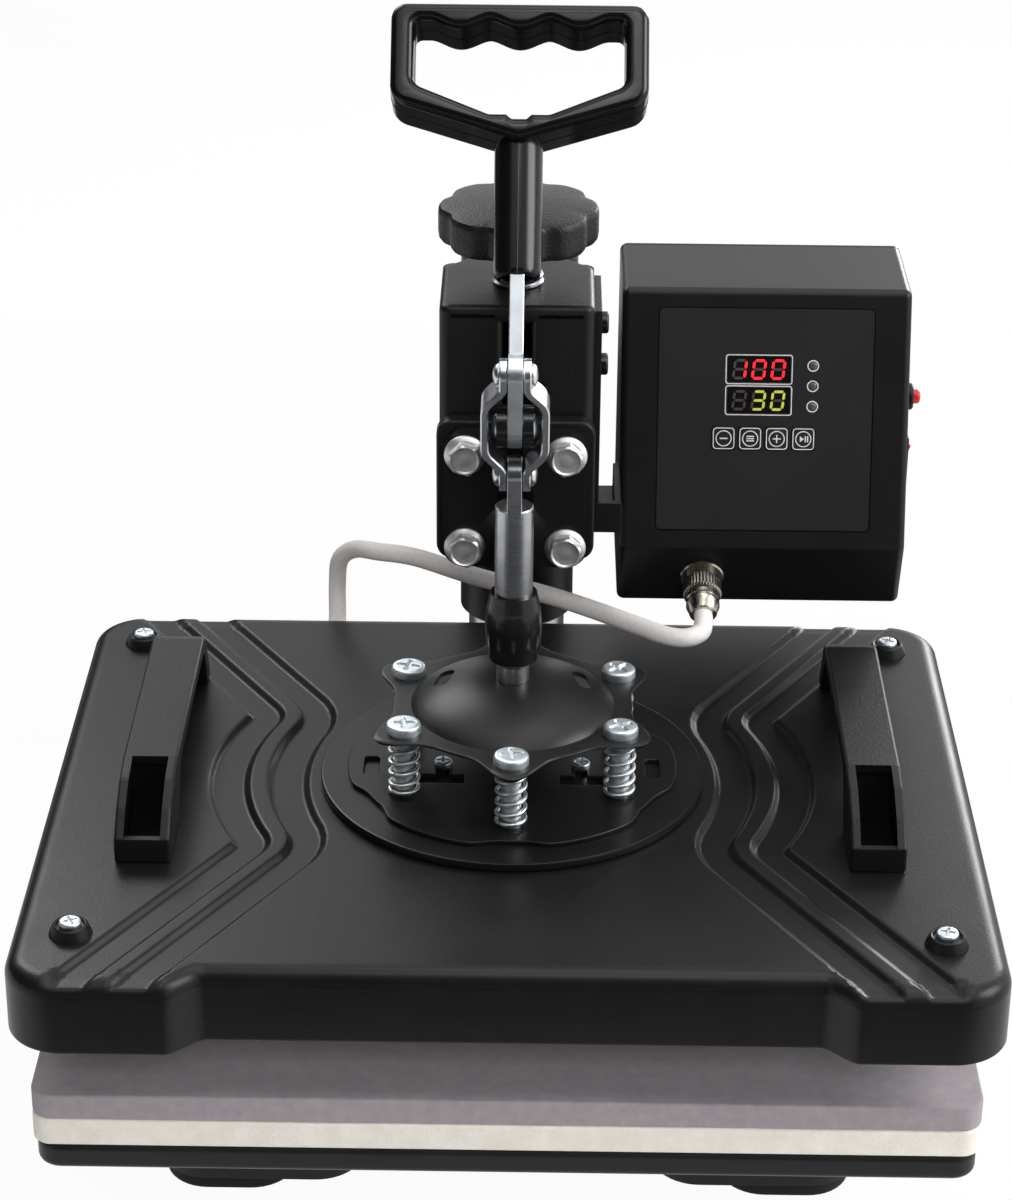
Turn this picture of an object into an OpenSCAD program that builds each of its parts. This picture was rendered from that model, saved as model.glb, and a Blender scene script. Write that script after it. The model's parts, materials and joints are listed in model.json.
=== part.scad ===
// Combo heat press with a swing-away head, 15 x 12 inch class.
// Millimetres, +Z up, table at Z = 0, the operator stands on the -Y side.
// The press is drawn open: handle up, plunger up, springs at their free set.

/* [Lower platen] */
// Width of the lower platen and its two pads
platen_w = 380; // [320:1:440]
// Depth of the lower platen and its two pads
platen_d = 290; // [240:1:340]
// Thickness of the painted platen plate
platen_t = 12; // [6:0.5:16]
// Height of the platen underside above the table
platen_z = 56.5; // [52:0.5:80]
// How far the platen centre stands in front of the plunger axis
platen_set = 5; // [0:1:15]
// Thickness of the white felt
felt_t = 12.5; // [6:0.5:18]
// Thickness of the grey silicone pad
pad_t = 11.5; // [6:0.5:18]

/* [Base] */
// Height of the rubber feet
foot_h = 6; // [4:1:12]
// Width of a rubber foot
foot_w = 56; // [46:1:64]
// Depth of a rubber foot from front to back
foot_d = 44; // [38:1:46]
// Height of the base frame
leg_h = 28; // [22:1:34]
// Width of a splayed leg
leg_w = 46; // [40:1:56]
// Sideways width of the turned-out leg ends
toe_w = 86; // [76:1:96]
// Sideways reach of each foot centre
foot_x = 118; // [96:1:140]
// Distance of the front feet in front of the plunger axis
front_foot = 63; // [50:1:100]
// Distance of the rear feet behind the post axis
rear_foot = 30; // [20:1:60]
// Sheet thickness of the pressed frame
frame_wall = 4; // [3:0.5:6]
// Side of the square pedestal column
pedestal_w = 84; // [70:1:100]
// Side of the pedestal flange under the platen
pedestal_flange = 124; // [110:1:150]

/* [Post and sleeve] */
// Distance of the post behind the plunger axis
post_back = 192; // [184:1:230]
// Diameter of the post
post_d = 46; // [40:1:56]
// Height of the post top above the table
post_top = 330; // [300:1:360]
// Diameter of the post foot flange
post_flange = 96; // [86:1:110]
// Wall of the swing sleeve
sleeve_wall = 4; // [3:0.5:6]
// Height of the sleeve underside
sleeve_z = 145; // [140:1:180]
// Radial running clearance of sleeve, plunger and pins
run_gap = 0.05; // [0.02:0.01:0.1]

/* [Head box] */
// Width of the head box
box_w = 66; // [58:1:76]
// Depth of the head box
box_d = 62; // [54:1:72]
// Distance of the box front behind the plunger axis
box_back = 60; // [56:1:70]
// Height of the box underside
box_z = 222; // [215:1:235]
// Height of the box top
box_top = 348; // [340:1:370]
// Sheet thickness of the box
box_wall = 4; // [3:0.5:6]
// Width of the front slot
slot_w = 12; // [10:0.5:16]
// Width of the arm between box and sleeve
arm_w = 42; // [34:1:50]

/* [Pressure adjuster] */
// Diameter of the adjusting screw
screw_d = 12; // [10:1:16]
// Outside diameter of the knob
knob_d = 68.5; // [56:0.5:80]
// Height of the knob rim
knob_h = 16; // [12:1:24]
// Height of the knob underside above the box top
knob_rise = 18.6; // [16:0.2:30]
// Height of the hub under the knob
knob_hub = 5; // [3:0.5:8]
// Diameter of the thrust washer on the box top
washer_d = 22; // [18:1:34]
// Thickness of the thrust washer
washer_t = 2; // [1.5:0.5:4]
// Width of the lock nut over its corners
nut_d = 20; // [16:0.5:27]
// Number of finger lobes on the knob
knob_lobes = 8; // [6:1:12]
// Width of the slide plate
slide_w = 68; // [60:1:76]
// Height of the slide plate
slide_h = 65; // [60:1:76]
// Thickness of the slide plate
slide_t = 8; // [6:0.5:12]

/* [Toggle] */
// Diameter of the plunger rod
rod_d = 16; // [14:0.5:20]
// Greatest diameter of the barrel guide
bush_d = 24; // [22:0.5:30]
// Length of the barrel guide
bush_h = 30.5; // [24:0.5:40]
// Gap between dome and guide
bush_rise = 10; // [8:0.5:16]
// Height of the lower link pin above the guide
pin_rise = 53.5; // [50:0.5:60]
// Height of the lever pivot above the lower link pin
pivot_rise = 24; // [22:0.5:28]
// Distance of the lever pivot in front of the plunger axis
pivot_set = 6; // [2:0.5:10]
// Distance from lever pivot to upper link pin
crank_r = 22; // [21:0.5:26]
// Backward lean of the lever
lever_lean = 36; // [28:1:36]
// Thickness of the lever bar
lever_t = 6; // [5:0.5:8]
// Width of the lever bar
lever_w = 16; // [14:0.5:17]
// Thickness of a link strap
strap_t = 3.2; // [2.5:0.1:4]
// Width of a link strap
strap_w = 14; // [12:0.5:18]
// Thickness of a pivot ear
ear_t = 4.3; // [4:0.1:6]
// Spacing of the four flange bolts
bolt_step = 43; // [40:0.5:46]
// Thickness of the toggle base plate
toggle_t = 8; // [6:0.5:12]

/* [Handle] */
// Distance from lever pivot to the lower end of the stem
stem_from = 61; // [56:1:64]
// Distance from lever pivot to the fork of the handle
stem_to = 116.5; // [110:0.5:126]
// Distance from lever pivot to the top of the handle
grip_to = 174.5; // [168:0.5:182]
// Width of the handle loop
grip_w = 106; // [90:1:120]
// Thickness of the handle loop, front to back
grip_t = 30; // [26:0.5:34]
// Diameter of the round stem
stem_d = 20; // [19:0.5:26]
// Thickness of the grip bar between finger bumps
grip_bar = 7; // [4:0.5:8]
// Depth of the finger bumps
bump_deep = 5; // [3:0.1:6]
// Step between the finger bumps
bump_step = 24.6; // [20:0.2:28]

/* [Heat platen] */
// Width of the platen cover
cover_w = 392; // [360:1:440]
// Depth of the platen cover
cover_d = 320; // [300:1:340]
// Height of the platen cover
cover_h = 30.5; // [26:0.5:40]
// How far the cover centre stands in front of the plunger axis
cover_set = 9; // [4:1:16]
// Corner radius of the cover in plan
cover_corner = 23; // [16:1:30]
// Rounding of the cover's upper edges
cover_edge = 7; // [5:0.5:10]
// Gap between pad and cover rim with the press open
open_gap = 34; // [26:0.5:44]
// How far the heating plate stands below the rim
plate_drop = 2; // [1:0.5:4]
// Thickness of the heating plate
heat_t = 14.5; // [10:0.5:16]
// Set-back of the middle of the front wall
front_recess = 11; // [8:0.5:14]
// Depth of the four styling grooves
groove_depth = 2.5; // [1.5:0.5:3]
// Sideways position of the four corner screws
corner_x = 172; // [150:1:176]
// Half the front-to-back spacing of the corner screws
corner_y = 126; // [110:1:132]
// Diameter of the round disc on the cover
disc_d = 164; // [160:1:176]
// Thickness of the round disc
disc_t = 4; // [3:0.5:6]
// Thickness of the adapter plate
adapter_t = 2; // [1.5:0.5:3]

/* [Spring suspension] */
// Radius of the six-screw circle
ring_r = 52.3; // [51:0.1:56]
// Length of a spring between the plates
spring_len = 27; // [25:0.5:34]
// Outside diameter of a spring
spring_d = 13.8; // [13.4:0.2:16]
// Diameter of the spring wire
wire_d = 1.8; // [1.6:0.1:2]
// Diameter of a shoulder screw shank
shank_d = 9; // [8:0.1:9.2]
// Diameter of a shoulder screw head
head_d = 14.7; // [13.5:0.1:16]
// Height of a shoulder screw head
head_h = 4; // [3:0.1:5]
// Thickness of the star plate
star_t = 2; // [1.5:0.5:3]
// Diameter of the dome at its foot
dome_d = 86; // [80:1:88]
// Height of the dome
dome_h = 12; // [10:0.5:16]

/* [Side handles] */
// Sideways position of the handles
side_x = 150; // [140:1:154]
// Width of a handle
side_w = 23; // [20:1:28]
// Height of the grip top above the cover
side_h = 28; // [24:0.5:32]
// Thickness of the handle section
side_t = 7; // [5:0.5:9]

/* [Control case] */
// Width of the case
case_w = 128; // [116:1:140]
// Sideways position of the case centre
case_x = 110; // [108:1:120]
// Distance of the lower front edge behind the plunger axis
case_back = 95; // [92:1:110]
// Height of the case underside
case_z = 189; // [182:1:196]
// Height of the chin
chin_h = 32; // [26:1:38]
// Set-back of the chin at its lower edge
chin_d = 12; // [8:1:18]
// Height of the leaning front
face_rise = 111; // [104:1:120]
// Backward run of the leaning front
face_run = 32; // [24:1:40]
// Depth of the case top
case_top_d = 60; // [50:1:70]
// Wall of the case
case_wall = 3; // [2:0.5:4]
// Width of the recessed panel
panel_w = 96; // [90:1:104]
// Height of the recessed panel
panel_h = 100; // [94:1:104]
// Depth of the panel recess
panel_deep = 1.5; // [1:0.1:2]
// Side of a key
key_w = 10.8; // [8:0.2:11.2]
// Step between keys
key_step = 11.8; // [11.3:0.1:13]
// Width of a digit window
display_w = 27.6; // [24:0.2:30]
// Height of a digit window
display_h = 11.4; // [9:0.2:12.5]
// Diameter of the heater lead
lead_d = 8.4; // [7:0.2:9]

/* [Hidden] */
$fn = 64;
pad_top = platen_z + platen_t + felt_t + pad_t;
cover_z = pad_top + open_gap;
cover_top = cover_z + cover_h;
disc_top = cover_top + disc_t;
adapter_top = disc_top + adapter_t;
star_z = adapter_top + spring_len;
star_top = star_z + star_t;
dome_top = star_top + dome_h;
bush_z = dome_top + bush_rise;
bush_top = bush_z + bush_h;
pin_z = bush_top + pin_rise;
pivot_z = pin_z + pivot_rise;
crank_z = pivot_z + crank_r;
sleeve_d = post_d + 2 * run_gap + 2 * sleeve_wall;
// the drawing is moved along Y so that the whole press is centred on the origin
rear_end = post_back + rear_foot + leg_w / 2;
front_end = cover_set + cover_d / 2;
rod_y = (front_end - rear_end) / 2;
frame_z = foot_h + leg_h;
slide_gap = 0.3;
slide_y = box_back - slide_gap - slide_t;
toggle_y = slide_y - toggle_t;
bolt_z = (box_z + box_top) / 2 - 19;
box_foot = bolt_z - 30;
screw_y = box_back + box_d / 2;
knob_z = box_top + knob_rise;
nut_z = box_top + washer_t + 0.3;
link_len = norm([pivot_set, crank_z - pin_z]);
link_tilt = atan2(pivot_set, crank_z - pin_z);
side_gap = 0.3;
strap_in = lever_t / 2 + side_gap;
ear_in = lever_t / 2 + side_gap;
ear_out = ear_in + ear_t;
bulge_in = ear_out + 3.2;
pivot_d = 8;
rivet_d = 7;
stud_d = 8;
tongue_t = lever_t;
tongue_z = pin_z - 14;
face_tilt = atan2(face_run, face_rise);
face_len = norm([face_run, face_rise]);
chin_len = norm([chin_d, chin_h]);
chin_tilt = atan2(chin_d, chin_h);
face_z = case_z + chin_h;
case_top = face_z + face_rise;
case_end = case_back + face_run + case_top_d;
case_left = case_x - case_w / 2;
case_right = case_x + case_w / 2;
plug_x = case_x - 26;
spring_mean = (spring_d - wire_d) / 2;
end_pitch = wire_d + 0.5;
active_turns = 4;
spring_turns = active_turns + 2;
rings_per_turn = 8;
spring_rings = spring_turns * rings_per_turn;
active_pitch = (spring_len - wire_d - 2 * end_pitch) / active_turns;
gland_x = -86;
gland_len = 6;
gland_z = cover_z + 14;
gland_y = cover_d / 2 - cover_set + gland_len;
// where the connector ends and which way it points
plug_len = 25;
plug_y = case_back + chin_d / 2 - plug_len * cos(chin_tilt);
plug_z = case_z + chin_h / 2 - plug_len * sin(chin_tilt);

// Shared shapes

module at_rod() translate([0, rod_y, 0]) children();

// rectangle with round corners, centred
module round_rect(w, d, r) {
  square([w - 2 * r, d], center = true);
  square([w, d - 2 * r], center = true);
  for (sx = [-1, 1], sy = [-1, 1])
    translate([sx * (w / 2 - r), sy * (d / 2 - r)]) circle(r);
}

// flat outline drawn in Y and Z, extruded along X about the middle plane
module along_x(t) rotate([90, 0, 90]) translate([0, 0, -t / 2]) linear_extrude(t) children();

// flat outline drawn in X and Z, extruded towards +Y from the plane Y = 0
module along_y(t) translate([0, t, 0]) rotate([90, 0, 0]) linear_extrude(t) children();

// straight bar between two points of the plan
module plan_bar(a, b, w) {
  translate(a)
    rotate(atan2(b[1] - a[1], b[0] - a[0]))
      translate([0, -w / 2])
        square([norm(b - a), w]);
}

// round-headed cap standing on the XY plane
module dome_cap(d, h) {
  r = (d * d / 4 + h * h) / (2 * h);
  intersection() {
    translate([0, 0, h - r]) sphere(r);
    translate([0, 0, h / 2]) cube([d + 1, d + 1, h], center = true);
  }
}

// local frame of the lever: origin at its pivot, Z along the bar, Y to the rear
module on_lever() {
  at_rod() translate([0, -pivot_set, pivot_z]) rotate([-lever_lean, 0, 0]) children();
}

// local frame of a link: origin at the lower pin, Z towards the upper pin
module on_link() {
  at_rod() translate([0, 0, pin_z]) rotate([link_tilt, 0, 0]) children();
}

// local frame of the leaning front: origin at its lower edge, Z up the face, Y inward
module on_face() {
  at_rod() translate([case_x, case_back, face_z]) rotate([-face_tilt, 0, 0]) children();
}

// local frame of the chin: origin at its middle, Y inward
module on_chin() {
  at_rod()
    translate([plug_x, case_back + chin_d / 2, case_z + chin_h / 2])
      rotate([chin_tilt, 0, 0]) children();
}

// the six places of the shoulder screws
module six() for (k = [0 : 5]) rotate(k * 60 - 90) translate([ring_r, 0, 0]) children();

// the four places of the flange bolts
module four_bolts() {
  for (sx = [-1, 1], sz = [-1, 1])
    translate([sx * bolt_step / 2, 0, bolt_z + sz * bolt_step / 2]) children();
}

// Base

// a bar of the frame from one share of the way between two points to another
module frame_bar(a, b, from, to, w) plan_bar(a + (b - a) * from, a + (b - a) * to, w);

// the spine and the four splayed legs in plan
module frame_plan(from, to, less) {
  hub = [0, -platen_set];
  back = [0, post_back];
  frame_bar(hub, back, from, to, leg_w + 14 - less);
  for (s = [-1, 1]) {
    frame_bar(hub, [s * foot_x, -front_foot], from, to, leg_w - less);
    frame_bar(back, [s * foot_x, post_back + rear_foot], from, to, leg_w - less);
  }
}

// the ends of the four legs, each set in by so much towards the middle
module leg_ends(in) {
  for (s = [-1, 1], y = [-front_foot, post_back + rear_foot])
    translate([s * (foot_x - in), y, 0]) children();
}

// pressed and welded steel frame, open under its bars
module base_frame() color("#1b1b1d") at_rod() {
  difference() {
    translate([0, 0, foot_h]) linear_extrude(leg_h) {
      frame_plan(0, 1, 4);
      translate([0, -platen_set]) circle(pedestal_w * 0.72);
      translate([0, post_back]) circle(post_flange / 2 + 2);
      leg_ends(13) round_rect(toe_w, leg_w, 20);
    }
    translate([0, 0, foot_h - 1]) linear_extrude(leg_h - frame_wall + 1)
      frame_plan(0.52, 0.7, 2 * frame_wall + 4);
    for (k = [0 : 3])
      translate([0, post_back, frame_z - 16])
        rotate(k * 90 + 45) translate([post_flange / 2 - 9, 0, 0]) cylinder(d = stud_d, h = 20);
  }
}

// four moulded feet under the leg ends
module rubber_feet() color("#101010") at_rod() leg_ends(-1) {
  linear_extrude(foot_h) round_rect(foot_w, foot_d, 19);
}

module flange_corners() {
  for (sx = [-1, 1], sy = [-1, 1])
    translate([sx * (pedestal_flange / 2 - 10), sy * (pedestal_flange / 2 - 10) - platen_set, 0]) children();
}

// square column with a flange that carries the lower platen
module pedestal() color("#1b1b1d") at_rod() difference() {
  translate([0, -platen_set, 0]) {
    translate([0, 0, frame_z]) linear_extrude(platen_z - frame_z) difference() {
      round_rect(pedestal_w, pedestal_w, 6);
      round_rect(pedestal_w - 8, pedestal_w - 8, 4);
    }
    translate([0, 0, platen_z - 6]) linear_extrude(6) round_rect(pedestal_flange, pedestal_flange, 8);
  }
  flange_corners() translate([0, 0, platen_z - 8]) cylinder(d = stud_d + 0.4, h = 12);
}

// hex screws through the flange into the platen
module pedestal_bolts() color("#b8bcc0") at_rod() flange_corners() {
  translate([0, 0, platen_z - 12]) cylinder(d = 15, h = 6, $fn = 6);
  translate([0, 0, platen_z - 6]) cylinder(d = stud_d, h = 12);
}

// painted plate
module lower_platen() color("#161617") at_rod() difference() {
  translate([0, -platen_set, platen_z]) linear_extrude(platen_t) round_rect(platen_w - 2, platen_d - 1, 10);
  flange_corners() translate([0, 0, platen_z - 1]) cylinder(d = stud_d, h = 7);
}

// white felt on the platen
module felt_pad() color("#efebe1") at_rod() {
  translate([0, -platen_set, platen_z + platen_t])
    linear_extrude(felt_t) round_rect(platen_w, platen_d, 8);
}

// grey silicone on the felt
module silicone_pad() color("#8c828a") at_rod() {
  translate([0, -platen_set, platen_z + platen_t + felt_t])
    linear_extrude(pad_t) round_rect(platen_w, platen_d, 9);
}

// round post on a bolted flange
module post() color("#8d9195") at_rod() translate([0, post_back, 0]) difference() {
  union() {
    translate([0, 0, frame_z]) cylinder(d = post_d, h = post_top - frame_z);
    translate([0, 0, frame_z]) cylinder(d = post_flange, h = 9);
  }
  for (k = [0 : 3])
    rotate(k * 90 + 45) translate([post_flange / 2 - 9, 0, frame_z - 1]) cylinder(d = stud_d + 0.4, h = 12);
}

// hex screws of the post flange
module post_bolts() color("#b8bcc0") at_rod() translate([0, post_back, 0]) {
  for (k = [0 : 3]) rotate(k * 90 + 45) translate([post_flange / 2 - 9, 0, 0]) {
    translate([0, 0, frame_z - 16]) cylinder(d = stud_d, h = 25);
    translate([0, 0, frame_z + 9]) cylinder(d = 14, h = 6, $fn = 6);
  }
}

// Swing head

// tube that turns on the post
module swing_sleeve() color("#1c1c1e") at_rod() translate([0, post_back, 0]) difference() {
  translate([0, 0, sleeve_z]) cylinder(d = sleeve_d, h = post_top + 6 - sleeve_z);
  translate([0, 0, sleeve_z - 1]) cylinder(d = post_d + 2 * run_gap, h = post_top - sleeve_z + 10);
}

// plug that closes the sleeve and rests on the post
module sleeve_cap() color("#1c1c1e") at_rod() translate([0, post_back, 0]) {
  translate([0, 0, post_top + 0.1]) cylinder(d = post_d + 2 * run_gap, h = 6.4);
  translate([0, 0, post_top + 6]) cylinder(d1 = sleeve_d, d2 = sleeve_d - 6, h = 4);
}

// rectangular tube welded between box and sleeve
module head_arm() color("#1c1c1e") at_rod() difference() {
  arm_z = box_z + 34;
  arm_h = post_top - arm_z - 6;
  translate([-arm_w / 2, box_back + box_d, arm_z]) cube([arm_w, post_back - box_back - box_d, arm_h]);
  translate([-arm_w / 2 + 4, box_back + box_d - 1, arm_z + 4])
    cube([arm_w - 8, post_back - box_back - box_d + 2, arm_h - 8]);
  translate([0, post_back, arm_z - 1]) cylinder(d = sleeve_d, h = arm_h + 2);
}

// folded C-section with rolled lips beside the slot, and a top plate
module head_box() color("#1c1c1e") at_rod() {
  inner_w = box_w - 2 * box_wall;
  inner_d = box_d - 2 * box_wall;
  difference() {
    translate([0, screw_y, box_foot]) linear_extrude(box_top - box_foot - box_wall) {
      difference() {
        round_rect(box_w, box_d, 5);
        round_rect(inner_w, inner_d, 2);
        translate([-slot_w / 2 - box_wall / 2, -box_d / 2 - 1]) square([slot_w + box_wall, box_wall + 4]);
      }
      for (s = [-1, 1])
        translate([s * (slot_w / 2 + box_wall / 2), -box_d / 2 + box_wall / 2]) circle(box_wall / 2);
    }
    for (z = bracket_rows())
      translate([box_w / 2 - box_wall - 1, screw_y - 16, z]) rotate([0, 90, 0]) cylinder(d = 5, h = box_wall + 2);
  }
  translate([0, screw_y, box_top - box_wall]) linear_extrude(box_wall) difference() {
    round_rect(box_w, box_d, 4);
    circle(d = screw_d + 0.8);
    for (s = [-1, 1]) translate([s * box_w / 2, box_d / 2]) rotate(45) square(16, center = true);
  }
}

// bright thrust washer on the box top
module screw_collar() color("#c9ccd0") at_rod() translate([0, screw_y, box_top]) difference() {
  cylinder(d = washer_d, h = washer_t);
  translate([0, 0, -1]) cylinder(d = screw_d + 0.8, h = washer_t + 2);
}

function bracket_rows() = [box_top - 12, box_top - 31];

// folded bracket between box and control case
module control_bracket() color("#1a1a1c") at_rod() difference() {
  x0 = box_w / 2;
  run = case_left - x0;
  low = face_z + 20;
  high = box_top - 4;
  lip = 14;
  union() {
    translate([x0, screw_y - 24, low]) cube([3, 44, high - low]);
    translate([x0, screw_y - 24, low]) cube([run, 44, 3]);
    translate([x0, screw_y - 24, low]) cube([run, 3, lip]);
    translate([case_left - 3, screw_y - 24, low]) cube([3, 44, lip]);
  }
  for (z = bracket_rows())
    translate([x0 - 1, screw_y - 16, z]) rotate([0, 90, 0]) cylinder(d = 5.4, h = 6);
}

// black pan screws of the bracket
module bracket_screws() color("#222224") at_rod() {
  for (z = bracket_rows()) translate([box_w / 2, screw_y - 16, z]) rotate([0, 90, 0]) {
    translate([0, 0, -box_wall]) cylinder(d = 5, h = box_wall + 3);
    translate([0, 0, 3]) dome_cap(9.5, 3);
  }
}

// Control case

module case_outline(in) {
  polygon([
    [case_back + in, face_z],
    [case_back + face_run + in * 0.8, case_top - in],
    [case_end - 3, case_top - in],
    [case_end - 3, case_z + in],
    [case_back + chin_d + in * 0.8, case_z + in]
  ]);
}

module key_places() {
  for (k = [0 : 3]) translate([(k - 1.5) * key_step - 0.4, 0, 0.4284 * face_len]) children();
}

module key_place(k) translate([(k - 1.5) * key_step - 0.4, 0, 0.4284 * face_len]) children();

// moulded console shell, open at the rear
module control_shell() color("#232325") difference() {
  at_rod() translate([case_x, 0, 0]) difference() {
    along_x(case_w) case_outline(0);
    along_x(case_w - 2 * case_wall) case_outline(case_wall);
    translate([-case_w / 2 + case_wall, case_end - 5, case_z + case_wall])
      cube([case_w - 2 * case_wall, 10, case_top - case_z - 2 * case_wall]);
  }
  on_face() translate([0, -0.01, face_len / 2])
    translate([-panel_w / 2, 0, -panel_h / 2]) cube([panel_w, panel_deep, panel_h]);
  on_face() key_places() translate([-key_w / 2, 0, -key_w / 2]) cube([key_w, 12, key_w]);
  on_face() display_places() translate([-display_w / 2, 0, -display_h / 2]) cube([display_w, 12, display_h]);
  on_face() lamp_places() rotate([-90, 0, 0]) cylinder(d = 4, h = 12);
  on_chin() rotate([-90, 0, 0]) translate([0, 0, -2]) cylinder(d = 13, h = 12);
  at_rod() translate([case_right - 8, rocker_y, rocker_z]) cube([20, 12, 18], center = true);
  at_rod() translate([case_right - 8, rocker_y, reset_z]) rotate([0, 90, 0]) cylinder(d = 9, h = 20);
}

module display_places() {
  for (k = [0, 1]) translate([-3, 0, (0.695 - 0.1195 * k) * face_len]) children();
}

module lamp_places() {
  for (k = [0 : 2]) translate([20.9, 0, (0.711 - 0.0785 * k) * face_len]) children();
}

rocker_y = case_back + 30;
rocker_in = 0.9;
rocker_z = face_z + 34;
reset_z = face_z + 62;

// rear wall of the case
module control_back() color("#1d1d1f") at_rod() difference() {
  union() {
    translate([case_left, case_end - 3, case_z]) cube([case_w, 3, case_top - case_z]);
    translate([case_left + case_wall + 0.2, case_end - 6, case_z + case_wall + 0.2])
      cube([case_w - 2 * case_wall - 0.4, 3.01, case_top - case_z - 2 * case_wall - 0.4]);
  }
  translate([case_left + case_wall + 3, case_end - 8, case_z + case_wall + 3])
    cube([case_w - 2 * case_wall - 6, 5, case_top - case_z - 2 * case_wall - 6]);
  translate([case_x, case_end, case_z + 34]) cube([27, 20, 20], center = true);
}

// printed overlay in the recess, with openings for displays, lamps and keys
module panel_overlay() color("#2b2b2e") on_face() difference() {
  translate([-panel_w / 2 + 0.2, 0.3, face_len / 2 - panel_h / 2 + 0.2])
    cube([panel_w - 0.4, panel_deep - 0.31, panel_h - 0.4]);
  key_places() translate([-key_w / 2, -1, -key_w / 2]) cube([key_w, 12, key_w]);
  display_places() translate([-display_w / 2, -1, -display_h / 2]) cube([display_w, 12, display_h]);
  lamp_places() translate([0, -1, 0]) rotate([-90, 0, 0]) cylinder(d = 4, h = 12);
}

// two digit windows
module displays() color("#3a0d0a") on_face() display_places() {
  translate([-display_w / 2, 0.6, -display_h / 2]) cube([display_w, 8, display_h]);
}

// three small lamps
module indicator_lamps() color("#c03020") on_face() lamp_places() {
  rotate([-90, 0, 0]) translate([0, 0, 0.4]) cylinder(d = 4, h = 7);
}

module key_cap() translate([-key_w / 2 + 0.2, -0.2, -key_w / 2 + 0.2]) cube([key_w - 0.4, 3, key_w - 0.4]);

module key_down() color("#d8d8d8") on_face() key_place(0) key_cap();
module key_mode() color("#d8d8d8") on_face() key_place(1) key_cap();
module key_up() color("#d8d8d8") on_face() key_place(2) key_cap();
module key_start() color("#d8d8d8") on_face() key_place(3) key_cap();

// frame of the power switch
module rocker_bezel() color("#151515") at_rod() translate([case_right, rocker_y, rocker_z]) difference() {
  union() {
    translate([0.75, 0, 0]) cube([1.5, 15, 21], center = true);
    translate([-5, 0, 0]) cube([10, 12, 18], center = true);
  }
  translate([-3, 0, 0]) cube([20, 9.6, 16.4], center = true);
}

// red power rocker, upper end out
module power_rocker() color("#b5201a") at_rod() translate([case_right, rocker_y, rocker_z]) {
  rotate([90, 0, 0]) translate([0, 0, -4.6]) linear_extrude(9.2)
    difference() {
      polygon([[-3, -5], [0.6, -6.9], [0.9, 0], [3.2, 6.9], [-3, 5]]);
      translate([-rocker_in, 0]) circle(d = 1.6);
    }
}

// ring of the overload cut-out
module reset_collar() color("#151515") at_rod() translate([case_right, rocker_y, reset_z]) {
  rotate([0, 90, 0]) difference() {
    union() {
      cylinder(d = 12, h = 2.5);
      translate([0, 0, -8]) cylinder(d = 9, h = 8.01);
    }
    translate([0, 0, -6]) cylinder(d = 7, h = 10);
  }
}

// red reset button of the cut-out
module reset_button() color("#b5201a") at_rod() translate([case_right, rocker_y, reset_z]) {
  rotate([0, 90, 0]) translate([0, 0, -2.5]) {
    cylinder(d = 6.4, h = 7.5);
    translate([0, 0, 7.5]) dome_cap(6.4, 1);
  }
}

// socket for the mains cord in the rear wall
module power_inlet() color("#141414") at_rod() translate([case_x, case_end, case_z + 34]) difference() {
  union() {
    translate([0, 1, 0]) cube([50, 2, 24], center = true);
    translate([0, -9, 0]) cube([27, 20, 20], center = true);
  }
  translate([0, -5, 0]) cube([24, 20, 16], center = true);
}

// panel half of the heater connector on the chin
module lead_socket() color("#b9b2a4") on_chin() rotate([90, 0, 0]) {
  cylinder(d = 20, h = 2.5);
  translate([0, 0, -8]) cylinder(d = 13, h = 8.01);
  translate([0, 0, 2.5]) cylinder(d = 14.5, h = 3);
}

// free half of the heater connector
module lead_plug() color("#b9b2a4") on_chin() rotate([90, 0, 0]) {
  translate([0, 0, 5.5]) cylinder(d = 17.5, h = 8);
  translate([0, 0, 13.5]) cylinder(d = 15, h = 6.5);
  translate([0, 0, 20]) cylinder(d1 = 15, d2 = 12, h = plug_len - 20);
}

// Heater lead: one tube between the connector and the cover gland

// straight out of the connector, behind the plunger, over the rear edge and straight into the gland
function plug_out(t) = [plug_x, plug_y - t * cos(chin_tilt), plug_z - t * sin(chin_tilt)];
lead_stops = [
  plug_out(0),
  plug_out(5),
  [plug_x - 1.5, plug_y - 9.5, plug_z - 4],
  [plug_x - 8, plug_y - 12, plug_z - 5.5],
  [plug_x - 17.5, plug_y - 7.5, plug_z - 6.5],
  [plug_x - 31, plug_y + 6, plug_z - 8],
  [plug_x - 51, plug_y + 27, plug_z - 10.5],
  [plug_x - 70, plug_y + 41, plug_z - 11],
  [plug_x - 104, plug_y + 50, plug_z - 6],
  [plug_x - 130, plug_y + 58, plug_z - 1],
  [plug_x - 148, plug_y + 66, plug_z - 2],
  [gland_x + 10, gland_y + 4, plug_z - 9],
  [gland_x + 2, gland_y + 16, plug_z - 20],
  [gland_x, gland_y + 23, plug_z - 36],
  [gland_x, gland_y + 20, gland_z + 5],
  [gland_x, gland_y + 12, gland_z],
  [gland_x, gland_y + 9, gland_z],
  [gland_x, gland_y, gland_z]
];
lead_cuts = 3;
lead_sides = 10;

function mix(p0, p1, p2, p3, t) =
  0.5 * (2 * p1 + (p2 - p0) * t + (2 * p0 - 5 * p1 + 4 * p2 - p3) * t * t
  + (3 * p1 - p0 - 3 * p2 + p3) * t * t * t);
function stop(i) =
  i < 0 ? 2 * lead_stops[0] - lead_stops[1]
  : i >= len(lead_stops) ? 2 * lead_stops[i - 1] - lead_stops[i - 2]
  : lead_stops[i];
lead_line = [
  for (i = [0 : len(lead_stops) - 2], k = [0 : lead_cuts - 1])
    mix(stop(i - 1), stop(i), stop(i + 1), stop(i + 2), k / lead_cuts),
  lead_stops[len(lead_stops) - 1]
];

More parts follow.
